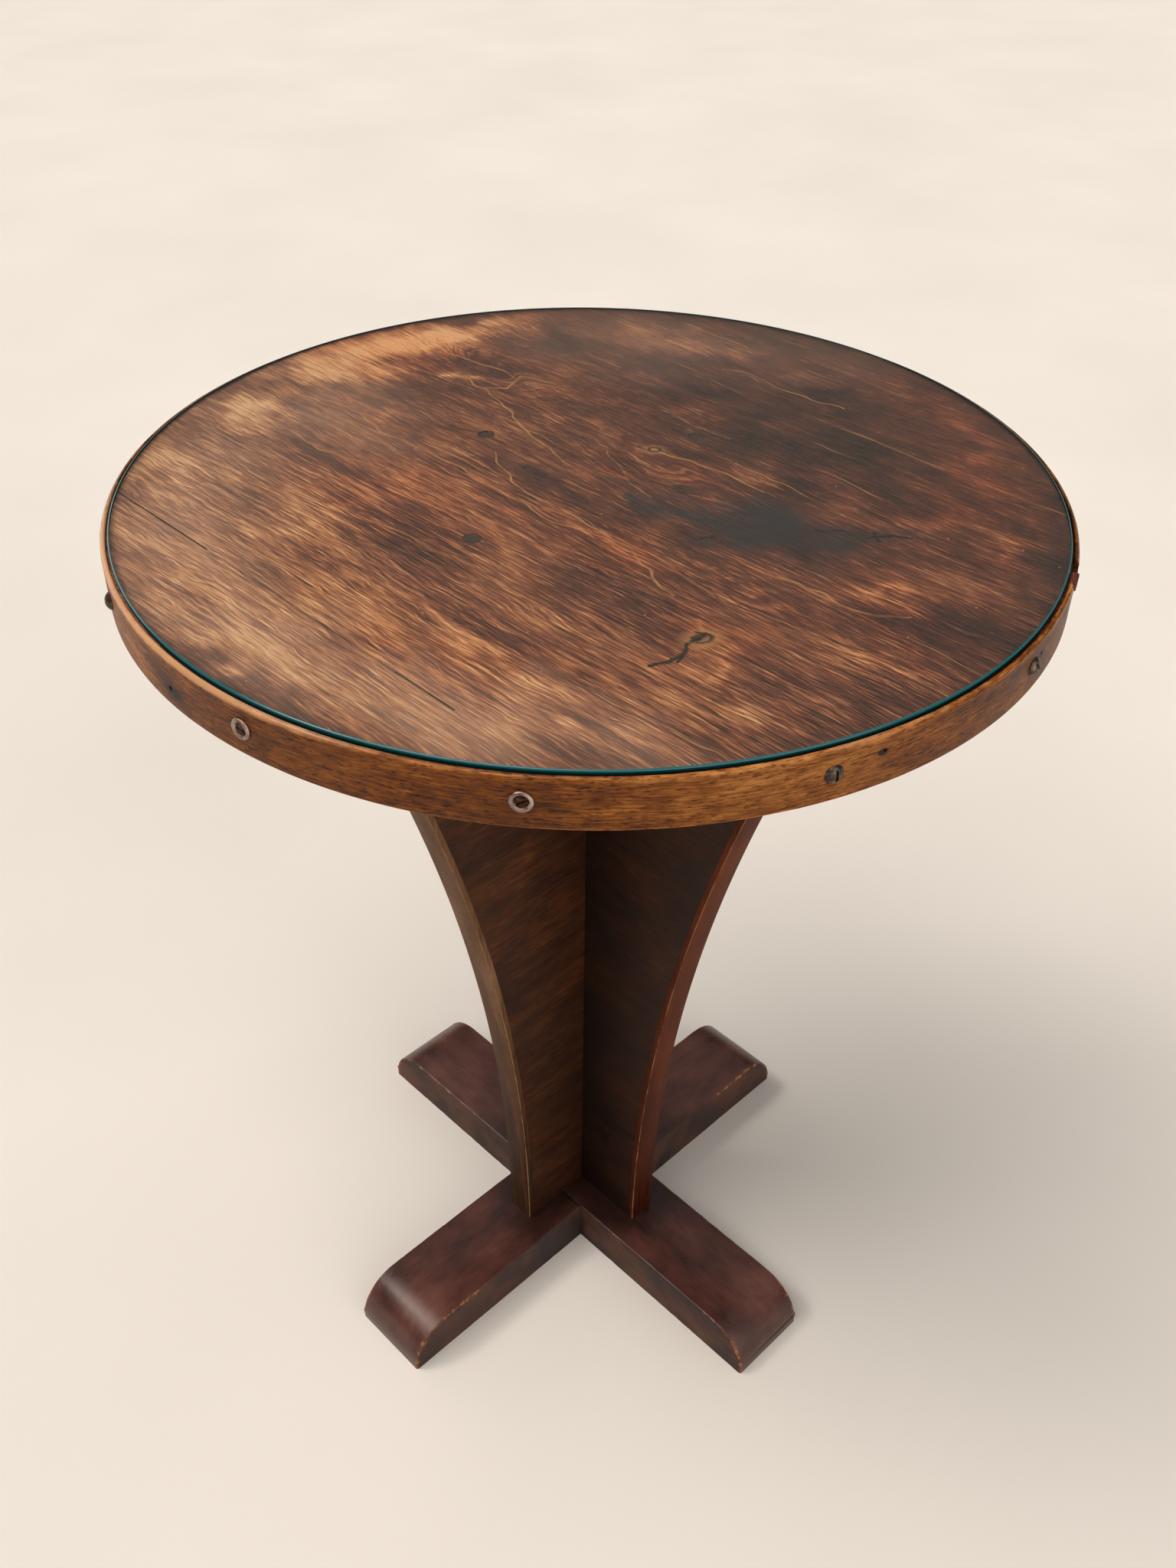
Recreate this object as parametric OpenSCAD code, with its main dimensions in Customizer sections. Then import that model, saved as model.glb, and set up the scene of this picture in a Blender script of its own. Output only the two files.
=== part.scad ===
// Round occasional table. A plank top in a bent hoop carries a loose glass cover.
// It is screwed down on a pedestal of two cross-halved boards,
// which stands on two half-lapped foot rails.
// Millimetres. The floor is z = 0 under the middle of the top, and the front is -Y.
// The wings and feet lie on the diagonals of X and Y.

/* [Top] */
// Diameter of the top, outside the hoop
top_d = 508; // [400:1:700]
// Height of the hoop's top edge above the floor
rim_h = 610; // [450:1:700]
// Thickness of the planks
plank_t = 20; // [16:0.5:30]
// Width of the middle plank; all five are glued edge to edge
middle_plank_w = 124.3; // [90:0.1:150]
// Width of the plank on each side of it; the outer planks have the rest
mid_plank_w = 124.3; // [90:0.1:150]

/* [Hoop] */
// Thickness of the bent strip round the planks
hoop_t = 2.8; // [2.5:0.1:6]
// Height of the bent strip
hoop_h = 27; // [24:0.5:40]
// Rounding of the hoop's top outer edge
hoop_round = 1.3; // [0.5:0.1:2]
// Rounding of the hoop's other edges
hoop_ease = 0.6; // [0.2:0.1:1]
// Direction in which the hoop's two ends meet, in degrees
hoop_ends_at = -18.3; // [-24:0.1:-12]
// Gap between the hoop's two ends
hoop_end_gap = 0.3; // [0.1:0.1:1]
// Length of the repair piece let in over the hoop's ends
patch_l = 12; // [6:0.5:20]
// Height of the repair piece
patch_h = 4; // [2:0.5:8]
// How far the repair piece stands out from the hoop
patch_proud = 0.9; // [0.2:0.1:2]

/* [Glass] */
// Thickness of the glass cover
glass_t = 4; // [4:0.5:8]
// How far the glass stands above the hoop
glass_proud = 1.5; // [0.5:0.1:4]
// Gap between the glass and the hoop all round
glass_gap = 1.2; // [0.5:0.1:3]
// Rounding of the polished edges of the glass
glass_round = 1; // [0.3:0.1:1.8]

/* [Pedestal] */
// Thickness of the two crossed boards
board_t = 20; // [15:0.5:30]
// Width of each crossed board at the bottom
board_w = 128; // [112:1:200]
// Radius of the hollow curve of each side edge
side_r = 1370; // [1000:1:3000]
// Thickness of the solid lipping on each side edge
lip_t = 4; // [2:0.5:8]

/* [Feet] */
// Length of each foot rail from tip to tip
foot_span = 382; // [300:1:500]
// Width of a foot rail
foot_w = 60; // [45:1:80]
// Thickness of a foot rail
foot_t = 34; // [26:1:60]
// Height of the upright face left under each rounded tip
tip_lip = 4; // [2:0.5:12]
// Rounding of the long top edges of a foot rail
foot_ease = 1.2; // [0.4:0.1:3]

/* [Rim fastenings] */
// Number of screws through the hoop
rim_screws = 12; // [8:1:16]
// Direction of the first of them, in degrees
rim_screw_first = 24; // [10:1:40]
// Diameter of their shanks
rim_shank_d = 3.5; // [3:0.1:4]
// Length of these screws, with a countersunk head or under a round one
rim_screw_l = 12.7; // [10:0.1:20]
// Diameter of a screw cup
cup_d = 11; // [9:0.1:13]
// Height of a screw cup
cup_h = 2; // [1.7:0.1:2.6]
// Head diameter of the screws in the cups
cup_head_d = 5.8; // [5:0.1:6.4]
// Head diameter of the round-head screws
round_head_d = 9.6; // [7:0.1:11]
// Height of the round heads
round_head_h = 3; // [2:0.1:4]
// Diameter of the largest old nail hole in the hoop
nail_hole_d = 4; // [2:0.1:5]

/* [Top and base screws] */
// Distance of the top screws from the middle of the top
top_screw_r = 84; // [82:0.5:120]
// Length of the top screws
top_screw_l = 50; // [35:1:70]
// Depth of the plugged holes over the top screws
plug_hole_depth = 7; // [5:0.5:9]
// Diameter of the plugged holes
plug_hole_d = 10; // [9.8:0.1:14]
// Thickness of the wooden plugs
plug_t = 4.8; // [3:0.1:4.9]
// Distance of the base screws from the side edges of the boards
base_screw_in = 19; // [12:0.5:20]
// Length of the base screws
base_screw_l = 58; // [40:1:80]
// Depth of the open holes under the base screws
base_hole_depth = 8; // [4:0.5:12]
// Head diameter of the top and base screws
screw_head_d = 9.4; // [8:0.1:9.6]
// Shank diameter of the top and base screws
screw_shank_d = 4.8; // [4:0.1:5.5]

/* [Fits] */
// Glued joint between two planks
plank_gap = 0.2; // [0.1:0.05:0.4]
// Clearance on each face of the cross halving and the half lap
joint_gap = 0.1; // [0.05:0.05:0.3]
// Glue line behind the hoop and the lippings
glue_gap = 0.1; // [0.05:0.05:0.2]
// Clearance round each screw, plug and patch
hole_gap = 0.1; // [0.05:0.05:0.2]

/* [Hidden] */
$fn = 96;

// Directions of the four wings
front_left_angle = 225;
front_right_angle = 315;
back_right_angle = 45;
back_left_angle = 135;
wings = [front_left_angle, front_right_angle, back_right_angle, back_left_angle];

// Levels
glass_z = rim_h + glass_proud - glass_t;
plank_z = glass_z - plank_t;
rim_screw_z = plank_z + plank_t / 2;
hoop_z = rim_h - hoop_h;
lap_z = foot_t / 2;
cross_z = (foot_t + plank_z) / 2;

// Joints of the planks, measured from the middle to the front left
inner_joint = middle_plank_w / 2;
outer_joint = inner_joint + mid_plank_w;

// Radii of the top
top_r = top_d / 2;
hoop_in_r = top_r - hoop_t;
disc_r = hoop_in_r - glue_gap;
glass_r = hoop_in_r - glass_gap;

// Hollow side edges: the arc's centre is level with the tops of the feet
side_x = board_w / 2 + side_r;
big_fn = 720;

// Foot rails
tip_r = foot_t - tip_lip;

// Screws
base_screw_r = board_w / 2 - base_screw_in;
pitch = 360 / rim_screws;
cup_head_h = (cup_head_d - rim_shank_d) / 2;
cup_wall_h = 0.4;
slot_w = 1.3;
slot_turn_angle = 37;
reach = 2;

// Places counted round the hoop that have a cup, on a hoop of twelve screws.
// The others have a round head.
cup_places = [0, 1, 2, 3, 7, 8];
upright_slot_place = 9;

// Depth of each plug below the planks, in the order of the wings
plug_sink = [0.2, 0.4, 0.2, 1];

// Old nail holes in the hoop: direction, depth below the rim, share of the largest hole
nail_holes = [[-138, 17, 1], [-60.3, 8.3, 0.5], [-34.2, 9.3, 0.65]];
nail_hole_depth = 2;

function has_cup(i) = len(search(i, cup_places)) > 0;
function rim_screw_at(i) = rim_screw_first + i * pitch;
function rim_tip_depth(i) = rim_screw_l - (has_cup(i) ? cup_head_h : 0);

// Shared shapes

// What is cut from a square corner at the origin, facing +X and +Y, to round it
module corner_waste(r) {
    translate([-r, -r]) difference() {
        square(r + reach);
        circle(r);
    }
}

// A pointed shank, hanging down from z = 0
module pointed_shank(d, l) {
    point_l = d;
    translate([0, 0, point_l - l]) cylinder(h = l - point_l, d = d);
    translate([0, 0, -l]) cylinder(h = point_l, d1 = d / 4, d2 = d);
}

// A countersunk screw, pointing down, with the flat of its head at z = 0
module countersunk_screw(head_d, shank_d, l, slot) {
    head_h = (head_d - shank_d) / 2;
    difference() {
        union() {
            translate([0, 0, -head_h]) cylinder(h = head_h, d1 = shank_d, d2 = head_d);
            translate([0, 0, -head_h]) pointed_shank(shank_d, l - head_h);
        }
        translate([-head_d, -slot / 2, -head_h / 2]) cube([2 * head_d, slot, head_h]);
    }
}

// The hole for a countersunk screw, with the same clearance all round
module countersunk_hole(head_d, shank_d, l) {
    r_head = head_d / 2 + hole_gap;
    r_shank = shank_d / 2 + hole_gap;
    seat_h = r_head - r_shank;
    translate([0, 0, -seat_h]) cylinder(h = seat_h, r1 = r_shank, r2 = r_head);
    translate([0, 0, -l - hole_gap]) cylinder(h = l + hole_gap, r = r_shank);
}

// Places what points along +Z so that it points out of the hoop
module out_of_hoop(angle, z) {
    rotate(angle) translate([top_r, 0, z]) rotate([0, 90, 0]) children();
}

// Top

module glass_top() {
    color([0.55, 0.75, 0.72, 0.45]) rotate_extrude() difference() {
        translate([0, glass_z]) square([glass_r, glass_t]);
        translate([glass_r, glass_z + glass_t]) corner_waste(glass_round);
        translate([glass_r, glass_z]) mirror([0, 1]) corner_waste(glass_round);
    }
}

// Pointed holes for the screws that hold the hoop, with the same clearance all round
module rim_screw_holes() {
    for (i = [0 : rim_screws - 1])
        out_of_hoop(rim_screw_at(i), rim_screw_z)
            translate([0, 0, reach])
                pointed_shank(rim_shank_d + 2 * hole_gap, reach + rim_tip_depth(i) + 2 * hole_gap);
}

// Plugged holes and countersinks for the screws into the wings
module top_screw_holes() {
    for (a = wings)
        rotate(a) translate([top_screw_r, 0, glass_z - plug_hole_depth]) {
            cylinder(h = plug_hole_depth + reach, d = plug_hole_d);
            countersunk_hole(screw_head_d, screw_shank_d, top_screw_l);
        }
}

// One plank: low and high are its edges, measured from the middle to the front left
module plank(low, high) {
    color([0.36, 0.20, 0.12]) difference() {
        intersection() {
            translate([0, 0, plank_z]) cylinder(h = plank_t, r = disc_r, $fn = 360);
            rotate(front_left_angle)
                translate([low + plank_gap / 2, -top_r, plank_z - reach])
                    cube([high - low - plank_gap, top_d, plank_t + 2 * reach]);
        }
        rim_screw_holes();
        top_screw_holes();
    }
}

module top_plank_front_left() { plank(outer_joint, top_r); }
module top_plank_mid_left() { plank(inner_joint, outer_joint); }
module top_plank_middle() { plank(-inner_joint, inner_joint); }
module top_plank_mid_right() { plank(-outer_joint, -inner_joint); }
module top_plank_back_right() { plank(-top_r, -outer_joint); }

// Room in the hoop for the repair piece, which is smaller by the clearance
module patch_block(clearance, proud) {
    l = patch_l - 2 * clearance;
    rotate(hoop_ends_at)
        translate([hoop_in_r - reach, -l / 2, rim_h - patch_h + clearance])
            cube([hoop_t + proud + reach, l, patch_h + reach]);
}

module hoop_section() {
    difference() {
        translate([hoop_in_r, hoop_z]) square([hoop_t, hoop_h]);
        translate([top_r, rim_h]) corner_waste(hoop_round);
        translate([top_r, hoop_z]) mirror([0, 1]) corner_waste(hoop_ease);
        translate([hoop_in_r, rim_h]) mirror([1, 0]) corner_waste(hoop_ease);
    }
}

// The hoop is one strip bent round, so it stops short of a full turn
module rim_hoop() {
    end_gap_angle = hoop_end_gap / top_r * 180 / PI;
    color([0.55, 0.33, 0.18]) difference() {
        rotate(hoop_ends_at + end_gap_angle / 2)
            rotate_extrude(angle = 360 - end_gap_angle, $fn = 360) hoop_section();
        patch_block(0, reach);
        rim_screw_holes();
        for (h = nail_holes)
            out_of_hoop(h[0], rim_h - h[1])
                translate([0, 0, -nail_hole_depth])
                    cylinder(h = nail_hole_depth + reach, d = nail_hole_d * h[2]);
    }
}

// The repair piece follows the hoop, but stands a little proud of it
module rim_patch() {
    color([0.45, 0.20, 0.13]) intersection() {
        patch_block(hole_gap, patch_proud + reach);
        rotate_extrude($fn = 360)
            translate([hoop_in_r + glue_gap, hoop_z])
                square([hoop_t + patch_proud - glue_gap, hoop_h]);
    }
}

// Rim fastenings

// Raised cup: a half-round bead on a low wall, with a conical seat for the head
module screw_cup() {
    bead_r = cup_h - cup_wall_h;
    bead_x = cup_d / 2 - bead_r;
    seat_r = rim_shank_d / 2 + hole_gap;
    cut_h = cup_h + reach;
    rotate_extrude() difference() {
        intersection() {
            union() {
                translate([bead_x, cup_wall_h]) circle(bead_r);
                translate([bead_x - bead_r, 0]) square([2 * bead_r, cup_wall_h]);
            }
            square([cup_d, cut_h]);
        }
        polygon([[0, -reach], [seat_r, -reach], [seat_r, 0], [seat_r + cut_h, cut_h], [0, cut_h]]);
    }
}

module rim_screw_cups() {
    color([0.66, 0.64, 0.60])
        for (i = [0 : rim_screws - 1])
            if (has_cup(i)) out_of_hoop(rim_screw_at(i), rim_screw_z) screw_cup();
}

module rim_cup_screws() {
    color([0.30, 0.22, 0.18])
        for (i = [0 : rim_screws - 1])
            if (has_cup(i))
                out_of_hoop(rim_screw_at(i), rim_screw_z)
                    translate([0, 0, cup_head_h]) rotate(slot_turn_angle * i)
                        countersunk_screw(cup_head_d, rim_shank_d, rim_screw_l, slot_w * 0.7);
}

// Round-head screw with its head on z = 0, pointing down
module round_head_screw() {
    dome_r = (round_head_d * round_head_d / 4 + round_head_h * round_head_h) / (2 * round_head_h);
    difference() {
        union() {
            rotate_extrude() intersection() {
                translate([0, round_head_h - dome_r]) circle(dome_r);
                square([round_head_d, round_head_h]);
            }
            pointed_shank(rim_shank_d, rim_screw_l);
        }
        translate([-round_head_d, -slot_w / 2, round_head_h / 2])
            cube([2 * round_head_d, slot_w, round_head_h]);
    }
}

module rim_round_head_screws() {
    color([0.45, 0.42, 0.40])
        for (i = [0 : rim_screws - 1])
            if (!has_cup(i))
                out_of_hoop(rim_screw_at(i), rim_screw_z)
                    rotate(slot_turn_angle * (i - upright_slot_place)) round_head_screw();
}

// Top screws and plugs

module top_screws() {
    color([0.50, 0.48, 0.46])
        for (a = wings)
            rotate(a) translate([top_screw_r, 0, glass_z - plug_hole_depth])
                countersunk_screw(screw_head_d, screw_shank_d, top_screw_l, slot_w);
}

module top_screw_plugs() {
    color([0.22, 0.13, 0.09])
        for (i = [0 : len(wings) - 1])
            rotate(wings[i]) translate([top_screw_r, 0, glass_z - plug_sink[i] - plug_t])
                cylinder(h = plug_t, d = plug_hole_d - 2 * hole_gap);
}

// Pedestal

// Everything between the two hollow curves, which are pulled in by inset
module between_curves(inset) {
    difference() {
        translate([-side_x, foot_t]) square([2 * side_x, plank_z - foot_t]);
        for (s = [-1, 1])
            translate([s * side_x, foot_t]) circle(side_r + inset, $fn = big_fn);
    }
}

// Stands a drawing up on edge, board_t thick
module stand_up() {
    rotate([90, 0, 0]) linear_extrude(height = board_t, center = true) children();
}

// One board of the cross, without its lippings; slot_z is the low end of its slot
module crossed_board(slot_z, slot_h) {
    slot_t = board_t + 2 * joint_gap;
    color([0.40, 0.26, 0.17]) difference() {
        stand_up() between_curves(lip_t + glue_gap);
        translate([-slot_t / 2, -board_t, slot_z]) cube([slot_t, 2 * board_t, slot_h]);
        for (s = [-1, 1]) {
            translate([s * top_screw_r, 0, glass_z - plug_hole_depth])
                countersunk_hole(screw_head_d, screw_shank_d, top_screw_l);
            translate([s * base_screw_r, 0, base_hole_depth]) rotate([180, 0, 0])
                countersunk_hole(screw_head_d, screw_shank_d, base_screw_l);
        }
    }
}

// This board is slotted from the top down to the middle
module pedestal_board_front_left() {
    rotate(front_left_angle) crossed_board(cross_z, plank_z - cross_z + reach);
}

// This board is slotted from the bottom up to the middle
module pedestal_board_front_right() {
    rotate(front_right_angle) crossed_board(foot_t - reach, cross_z - foot_t + reach + joint_gap);
}

// Lipping on the outer edge of one wing
module edge_lipping(angle) {
    color([0.48, 0.36, 0.27]) rotate(angle) stand_up() intersection() {
        difference() {
            translate([side_x, foot_t]) circle(side_r + lip_t, $fn = big_fn);
            translate([side_x, foot_t]) circle(side_r, $fn = big_fn);
        }
        translate([0, foot_t]) square([top_r, plank_z - foot_t]);
    }
}

module edge_lipping_front_left() { edge_lipping(front_left_angle); }
module edge_lipping_front_right() { edge_lipping(front_right_angle); }
module edge_lipping_back_right() { edge_lipping(back_right_angle); }
module edge_lipping_back_left() { edge_lipping(back_left_angle); }

// Feet

// Side view of a rail: quarter-round tips on a low upright lip
module rail_side() {
    difference() {
        translate([-foot_span / 2, 0]) square([foot_span, foot_t]);
        for (s = [0, 1])
            mirror([s, 0]) translate([foot_span / 2, foot_t]) corner_waste(tip_r);
    }
}

// End view of a rail: eased top edges
module rail_end() {
    difference() {
        translate([-foot_w / 2, 0]) square([foot_w, foot_t]);
        for (s = [0, 1])
            mirror([s, 0]) translate([foot_w / 2, foot_t]) corner_waste(foot_ease);
    }
}

// One rail; notch_z is the low end of its half lap
module foot_rail(notch_z, notch_h) {
    notch_l = foot_w + 2 * joint_gap;
    color([0.28, 0.15, 0.12]) difference() {
        intersection() {
            rotate([90, 0, 0]) linear_extrude(height = foot_w, center = true) rail_side();
            rotate([90, 0, 90]) linear_extrude(height = foot_span, center = true) rail_end();
        }
        translate([-notch_l / 2, -foot_w, notch_z]) cube([notch_l, 2 * foot_w, notch_h]);
        for (s = [-1, 1])
            translate([s * base_screw_r, 0, base_hole_depth]) rotate([180, 0, 0]) {
                cylinder(h = base_hole_depth + reach, d = screw_head_d + 2 * hole_gap);
                countersunk_hole(screw_head_d, screw_shank_d, base_screw_l);
            }
    }
}

// This rail is notched on top and lies under the other at the middle
module foot_rail_front_left() {
    rotate(front_left_angle) foot_rail(lap_z, foot_t);
}

// This rail is notched underneath and runs through on top
module foot_rail_front_right() {
    rotate(front_right_angle) foot_rail(lap_z - foot_t, foot_t + joint_gap);
}

module base_screws() {
    color([0.50, 0.48, 0.46])
        for (a = wings)
            rotate(a) translate([base_screw_r, 0, base_hole_depth]) rotate([180, 0, 0])
                countersunk_screw(screw_head_d, screw_shank_d, base_screw_l, slot_w);
}

glass_top();
top_plank_front_left();
top_plank_mid_left();
top_plank_middle();
top_plank_mid_right();
top_plank_back_right();
rim_hoop();
rim_patch();
rim_screw_cups();
rim_cup_screws();
rim_round_head_screws();
top_screws();
top_screw_plugs();
pedestal_board_front_left();
pedestal_board_front_right();
edge_lipping_front_left();
edge_lipping_front_right();
edge_lipping_back_right();
edge_lipping_back_left();
foot_rail_front_left();
foot_rail_front_right();
base_screws();
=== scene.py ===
# Round side table: the wood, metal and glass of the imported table, its light and its camera.
import math
from functools import partial

import bmesh
import bpy
from mathutils import Matrix, Vector, noise


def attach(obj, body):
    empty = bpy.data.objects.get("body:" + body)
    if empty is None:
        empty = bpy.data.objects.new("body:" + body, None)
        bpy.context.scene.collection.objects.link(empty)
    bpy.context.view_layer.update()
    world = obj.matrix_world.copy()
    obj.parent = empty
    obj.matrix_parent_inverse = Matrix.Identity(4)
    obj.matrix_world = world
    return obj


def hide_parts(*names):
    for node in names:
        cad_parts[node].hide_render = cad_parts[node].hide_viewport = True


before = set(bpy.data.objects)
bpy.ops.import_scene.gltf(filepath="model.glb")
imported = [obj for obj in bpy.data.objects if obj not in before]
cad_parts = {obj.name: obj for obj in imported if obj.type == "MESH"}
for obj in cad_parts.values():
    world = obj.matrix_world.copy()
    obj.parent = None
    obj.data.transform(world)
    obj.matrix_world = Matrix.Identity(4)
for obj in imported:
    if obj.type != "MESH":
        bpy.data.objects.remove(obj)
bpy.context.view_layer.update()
print("frame loaded:", len(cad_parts), "nodes")

mm = 0.001  # the sizes below are in millimetres, as on a drawing

table = {
    "topRadius": 254.0,
    "rimHeight": 610.0,
    "hoopInside": 251.2,
    "hoopHigh": 27.0,
    "hoopEnds": -18.3,  # direction in degrees where the two ends of the hoop meet
    "plankTop": 607.5,
    "plankUnder": 587.5,
    "footTop": 34.0,
}
wings = {"front_left": 225, "front_right": 315, "back_right": 45, "back_left": 135}


# Modelling

def deselectAll():
    bpy.ops.object.select_all(action="DESELECT")


def takeUp(piece):  # makes one piece the only selected one
    deselectAll()
    piece.select_set(True)
    bpy.context.view_layer.objects.active = piece


def nameNew(name):  # names what an operator has just added
    piece = bpy.context.object
    piece.name = name
    piece.data.name = name
    takeUp(piece)
    return piece


def pickEdges(piece, test):  # in edit mode, selects the edges whose two ends pass the test
    bpy.ops.mesh.select_mode(type="EDGE")
    bpy.ops.mesh.select_all(action="DESELECT")
    mesh = bmesh.from_edit_mesh(piece.data)
    for edge in mesh.edges:
        edge.select_set(test(edge.verts[0].co / mm, edge.verts[1].co / mm))
    bmesh.update_edit_mesh(piece.data)


def pickFaces(piece, test):  # in edit mode, selects the faces whose middle passes the test
    bpy.ops.mesh.select_mode(type="FACE")
    bpy.ops.mesh.select_all(action="DESELECT")
    mesh = bmesh.from_edit_mesh(piece.data)
    for face in mesh.faces:
        face.select_set(test(face.calc_center_median() / mm))
    bmesh.update_edit_mesh(piece.data)


def movePoints(piece, where):  # where(index, point) gives each point's new place
    for index, point in enumerate(piece.data.vertices):
        point.co = Vector(where(index, point.co / mm)) * mm


def turnBy(angle):  # a turn about Z, in degrees
    return Matrix.Rotation(math.radians(angle), 4, "Z")


def moveBy(x, y, z):
    return Matrix.Translation((x * mm, y * mm, z * mm))


def joinAll(pieces, name):
    deselectAll()
    for piece in pieces:
        piece.select_set(True)
    bpy.context.view_layer.objects.active = pieces[0]
    bpy.ops.object.join()
    return nameNew(name)


def copyOf(piece, matrix):
    twin = piece.copy()
    twin.data = piece.data.copy()
    twin.data.transform(matrix)
    bpy.context.collection.objects.link(twin)
    return twin


def addBox(name, middle, size):
    deselectAll()
    bpy.ops.mesh.primitive_cube_add(size=1, location=[value * mm for value in middle])
    box = nameNew(name)
    box.scale = [value * mm for value in size]
    bpy.ops.object.transform_apply(location=True, scale=True)
    return box


def cutWith(piece, cutter):
    takeUp(piece)
    cut = piece.modifiers.new("cut", "BOOLEAN")
    cut.object = cutter
    cut.solver = "EXACT"
    bpy.ops.object.modifier_apply(modifier=cut.name)


def cutBox(piece, middle, size, angle=0):  # the box is turned about Z before it cuts
    box = addBox("cut_box", middle, size)
    box.data.transform(turnBy(angle))
    cutWith(piece, box)
    bpy.data.objects.remove(box)


def easeEdges(piece, width, angle):  # rounds every edge that is sharper than the angle
    takeUp(piece)
    bevel = piece.modifiers.new("eased", "BEVEL")
    bevel.width = width * mm
    bevel.segments = 2
    bevel.limit_method = "ANGLE"
    bevel.angle_limit = math.radians(angle)
    bpy.ops.object.modifier_apply(modifier=bevel.name)


def arc(x, z, radius, start, end, steps):  # outline points round a corner, angles in degrees
    turns = [math.radians(start + (end - start) * i / steps) for i in range(steps + 1)]
    return [(x + radius * math.cos(t), z + radius * math.sin(t)) for t in turns]


def lathe(name, outline, steps, angle=360.0):  # turns an outline of (radius, height) about Z
    deselectAll()
    bpy.ops.mesh.primitive_circle_add(vertices=len(outline), radius=1, fill_type="NOTHING")
    piece = nameNew(name)
    movePoints(piece, lambda index, point: (outline[index][0], 0, outline[index][1]))
    bpy.ops.object.mode_set(mode="EDIT")
    pickEdges(piece, lambda a, b: a.x < 0.001 and b.x < 0.001)  # an edge on the axis isn't turned
    bpy.ops.mesh.delete(type="EDGE")
    bpy.ops.mesh.select_all(action="SELECT")
    bpy.ops.mesh.spin(steps=steps, angle=math.radians(angle), center=(0, 0, 0), axis=(0, 0, 1))
    bpy.ops.mesh.select_all(action="SELECT")
    bpy.ops.mesh.remove_doubles(threshold=0.00001)
    if angle < 360:
        bpy.ops.mesh.fill_holes(sides=0)
    bpy.ops.mesh.select_all(action="SELECT")
    bpy.ops.mesh.normals_make_consistent(inside=False)
    bpy.ops.object.mode_set(mode="OBJECT")
    return piece


def finishPiece(piece, nodes, materials, smooth=30, body="table"):
    takeUp(piece)
    bpy.ops.object.transform_apply(location=True, rotation=True, scale=True)
    bpy.ops.object.shade_smooth_by_angle(angle=math.radians(smooth))
    for material in materials:
        piece.data.materials.append(material)
    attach(piece, body)
    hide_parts(*nodes)


# Materials

eased = {"interpolation_type": "SMOOTHSTEP"}
inColour = {"data_type": "RGBA"}
timesColour = {"data_type": "RGBA", "blend_type": "MULTIPLY"}
ownSpace = {"vector_type": "TEXTURE"}  # makes the space of a mark from its place, turn and size
deep = 100000.0  # a mark goes through the whole thickness


def toLinear(code):  # sRGB hex to a linear colour
    parts = [int(code[i:i + 2], 16) / 255 for i in (1, 3, 5)]
    return [p / 12.92 if p <= 0.04045 else ((p + 0.055) / 1.055) ** 2.4 for p in parts] + [1.0]


def addNode(tree, kind, *given, out=0):  # given are its operation or settings, and its inputs
    node = tree.nodes.new("ShaderNode" + kind)
    *settings, inputs = given or [()]
    settings = settings[0] if settings else {}
    settings = {"operation": settings} if isinstance(settings, str) else dict(settings)
    stops = settings.pop("stops", [])
    for key, value in settings.items():
        setattr(node, key, value)
    for place, (position, code) in enumerate(stops):
        if place < 2:
            stop = node.color_ramp.elements[place]
            stop.position = position
        else:
            stop = node.color_ramp.elements.new(position)
        stop.color = toLinear(code)
    for key, value in inputs.items() if isinstance(inputs, dict) else enumerate(inputs):
        if isinstance(value, bpy.types.NodeSocket):
            tree.links.new(value, node.inputs[key])
        else:
            node.inputs[key].default_value = toLinear(value) if isinstance(value, str) else value
    return node.outputs[out]


def startMaterial(name):  # add is addNode for its own tree; place is in millimetres
    material = bpy.data.materials.new(name)
    material.use_nodes = True
    add = partial(addNode, material.node_tree)
    metres = add("TexCoord", out="Object")
    place = add("VectorMath", "SCALE", {"Vector": metres, "Scale": 1000.0})
    return material, add, material.node_tree.nodes["Principled BSDF"], place


def finishMaterial(add, shader, colour, roughness, height, depth, strength=1.0, shine=0.5):
    if isinstance(roughness, tuple):  # a noise, and the roughness where it is low and high
        grain, low, high = roughness
        roughness = add("MapRange", [grain, 0.3, 0.7, low, high])
    bump = add("Bump", {"Strength": strength, "Distance": depth * mm, "Height": height})
    links = shader.id_data.links
    links.new(colour, shader.inputs["Base Color"])
    links.new(roughness, shader.inputs["Roughness"])
    links.new(bump, shader.inputs["Normal"])
    shader.inputs["Specular IOR Level"].default_value = shine


def streaks(add, space, along, across, detail=3.0, rough=0.55):  # noise drawn out along X
    sized = add("Mapping", {"Vector": space, "Scale": (1 / along, 1 / across, 1 / across)})
    return add("TexNoise", {"Vector": sized, "Scale": 1.0, "Detail": detail, "Roughness": rough})


def layered(add, start, layers):  # adds up noises, each times its weight
    total = start
    for layer, weight in layers:
        total = add("Math", "MULTIPLY_ADD", [layer, weight, total])
    return total


def warped(add, space, scale, detail, reach):  # a noise pushes the space up to reach each way
    push = add("TexNoise", {"Vector": space, "Scale": scale, "Detail": detail}, out="Color")
    moved = add("VectorMath", "MULTIPLY_ADD", [push, (2 * reach, 2 * reach, 0), space])
    return add("VectorMath", "SUBTRACT", [moved, (reach, reach, 0)])


def fromAxis(add, space):  # distance from the Z axis
    flat = add("VectorMath", "MULTIPLY", [space, (1, 1, 0)])
    return add("VectorMath", "LENGTH", [flat], out="Value")


def softPatches(add, space, spots, start=0.0):  # ellipses: x, y, length, width, turn, weight
    patches = []
    for x, y, long, wide, turn, weight in spots:
        angles = (0, 0, math.radians(turn))
        local = add("Mapping", ownSpace, [space, (x, y, 0), angles, (long, wide, deep)])
        patches.append((add("TexGradient", {"gradient_type": "SPHERICAL"}, [local], out="Fac"), weight))
    return layered(add, start, patches)


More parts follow.
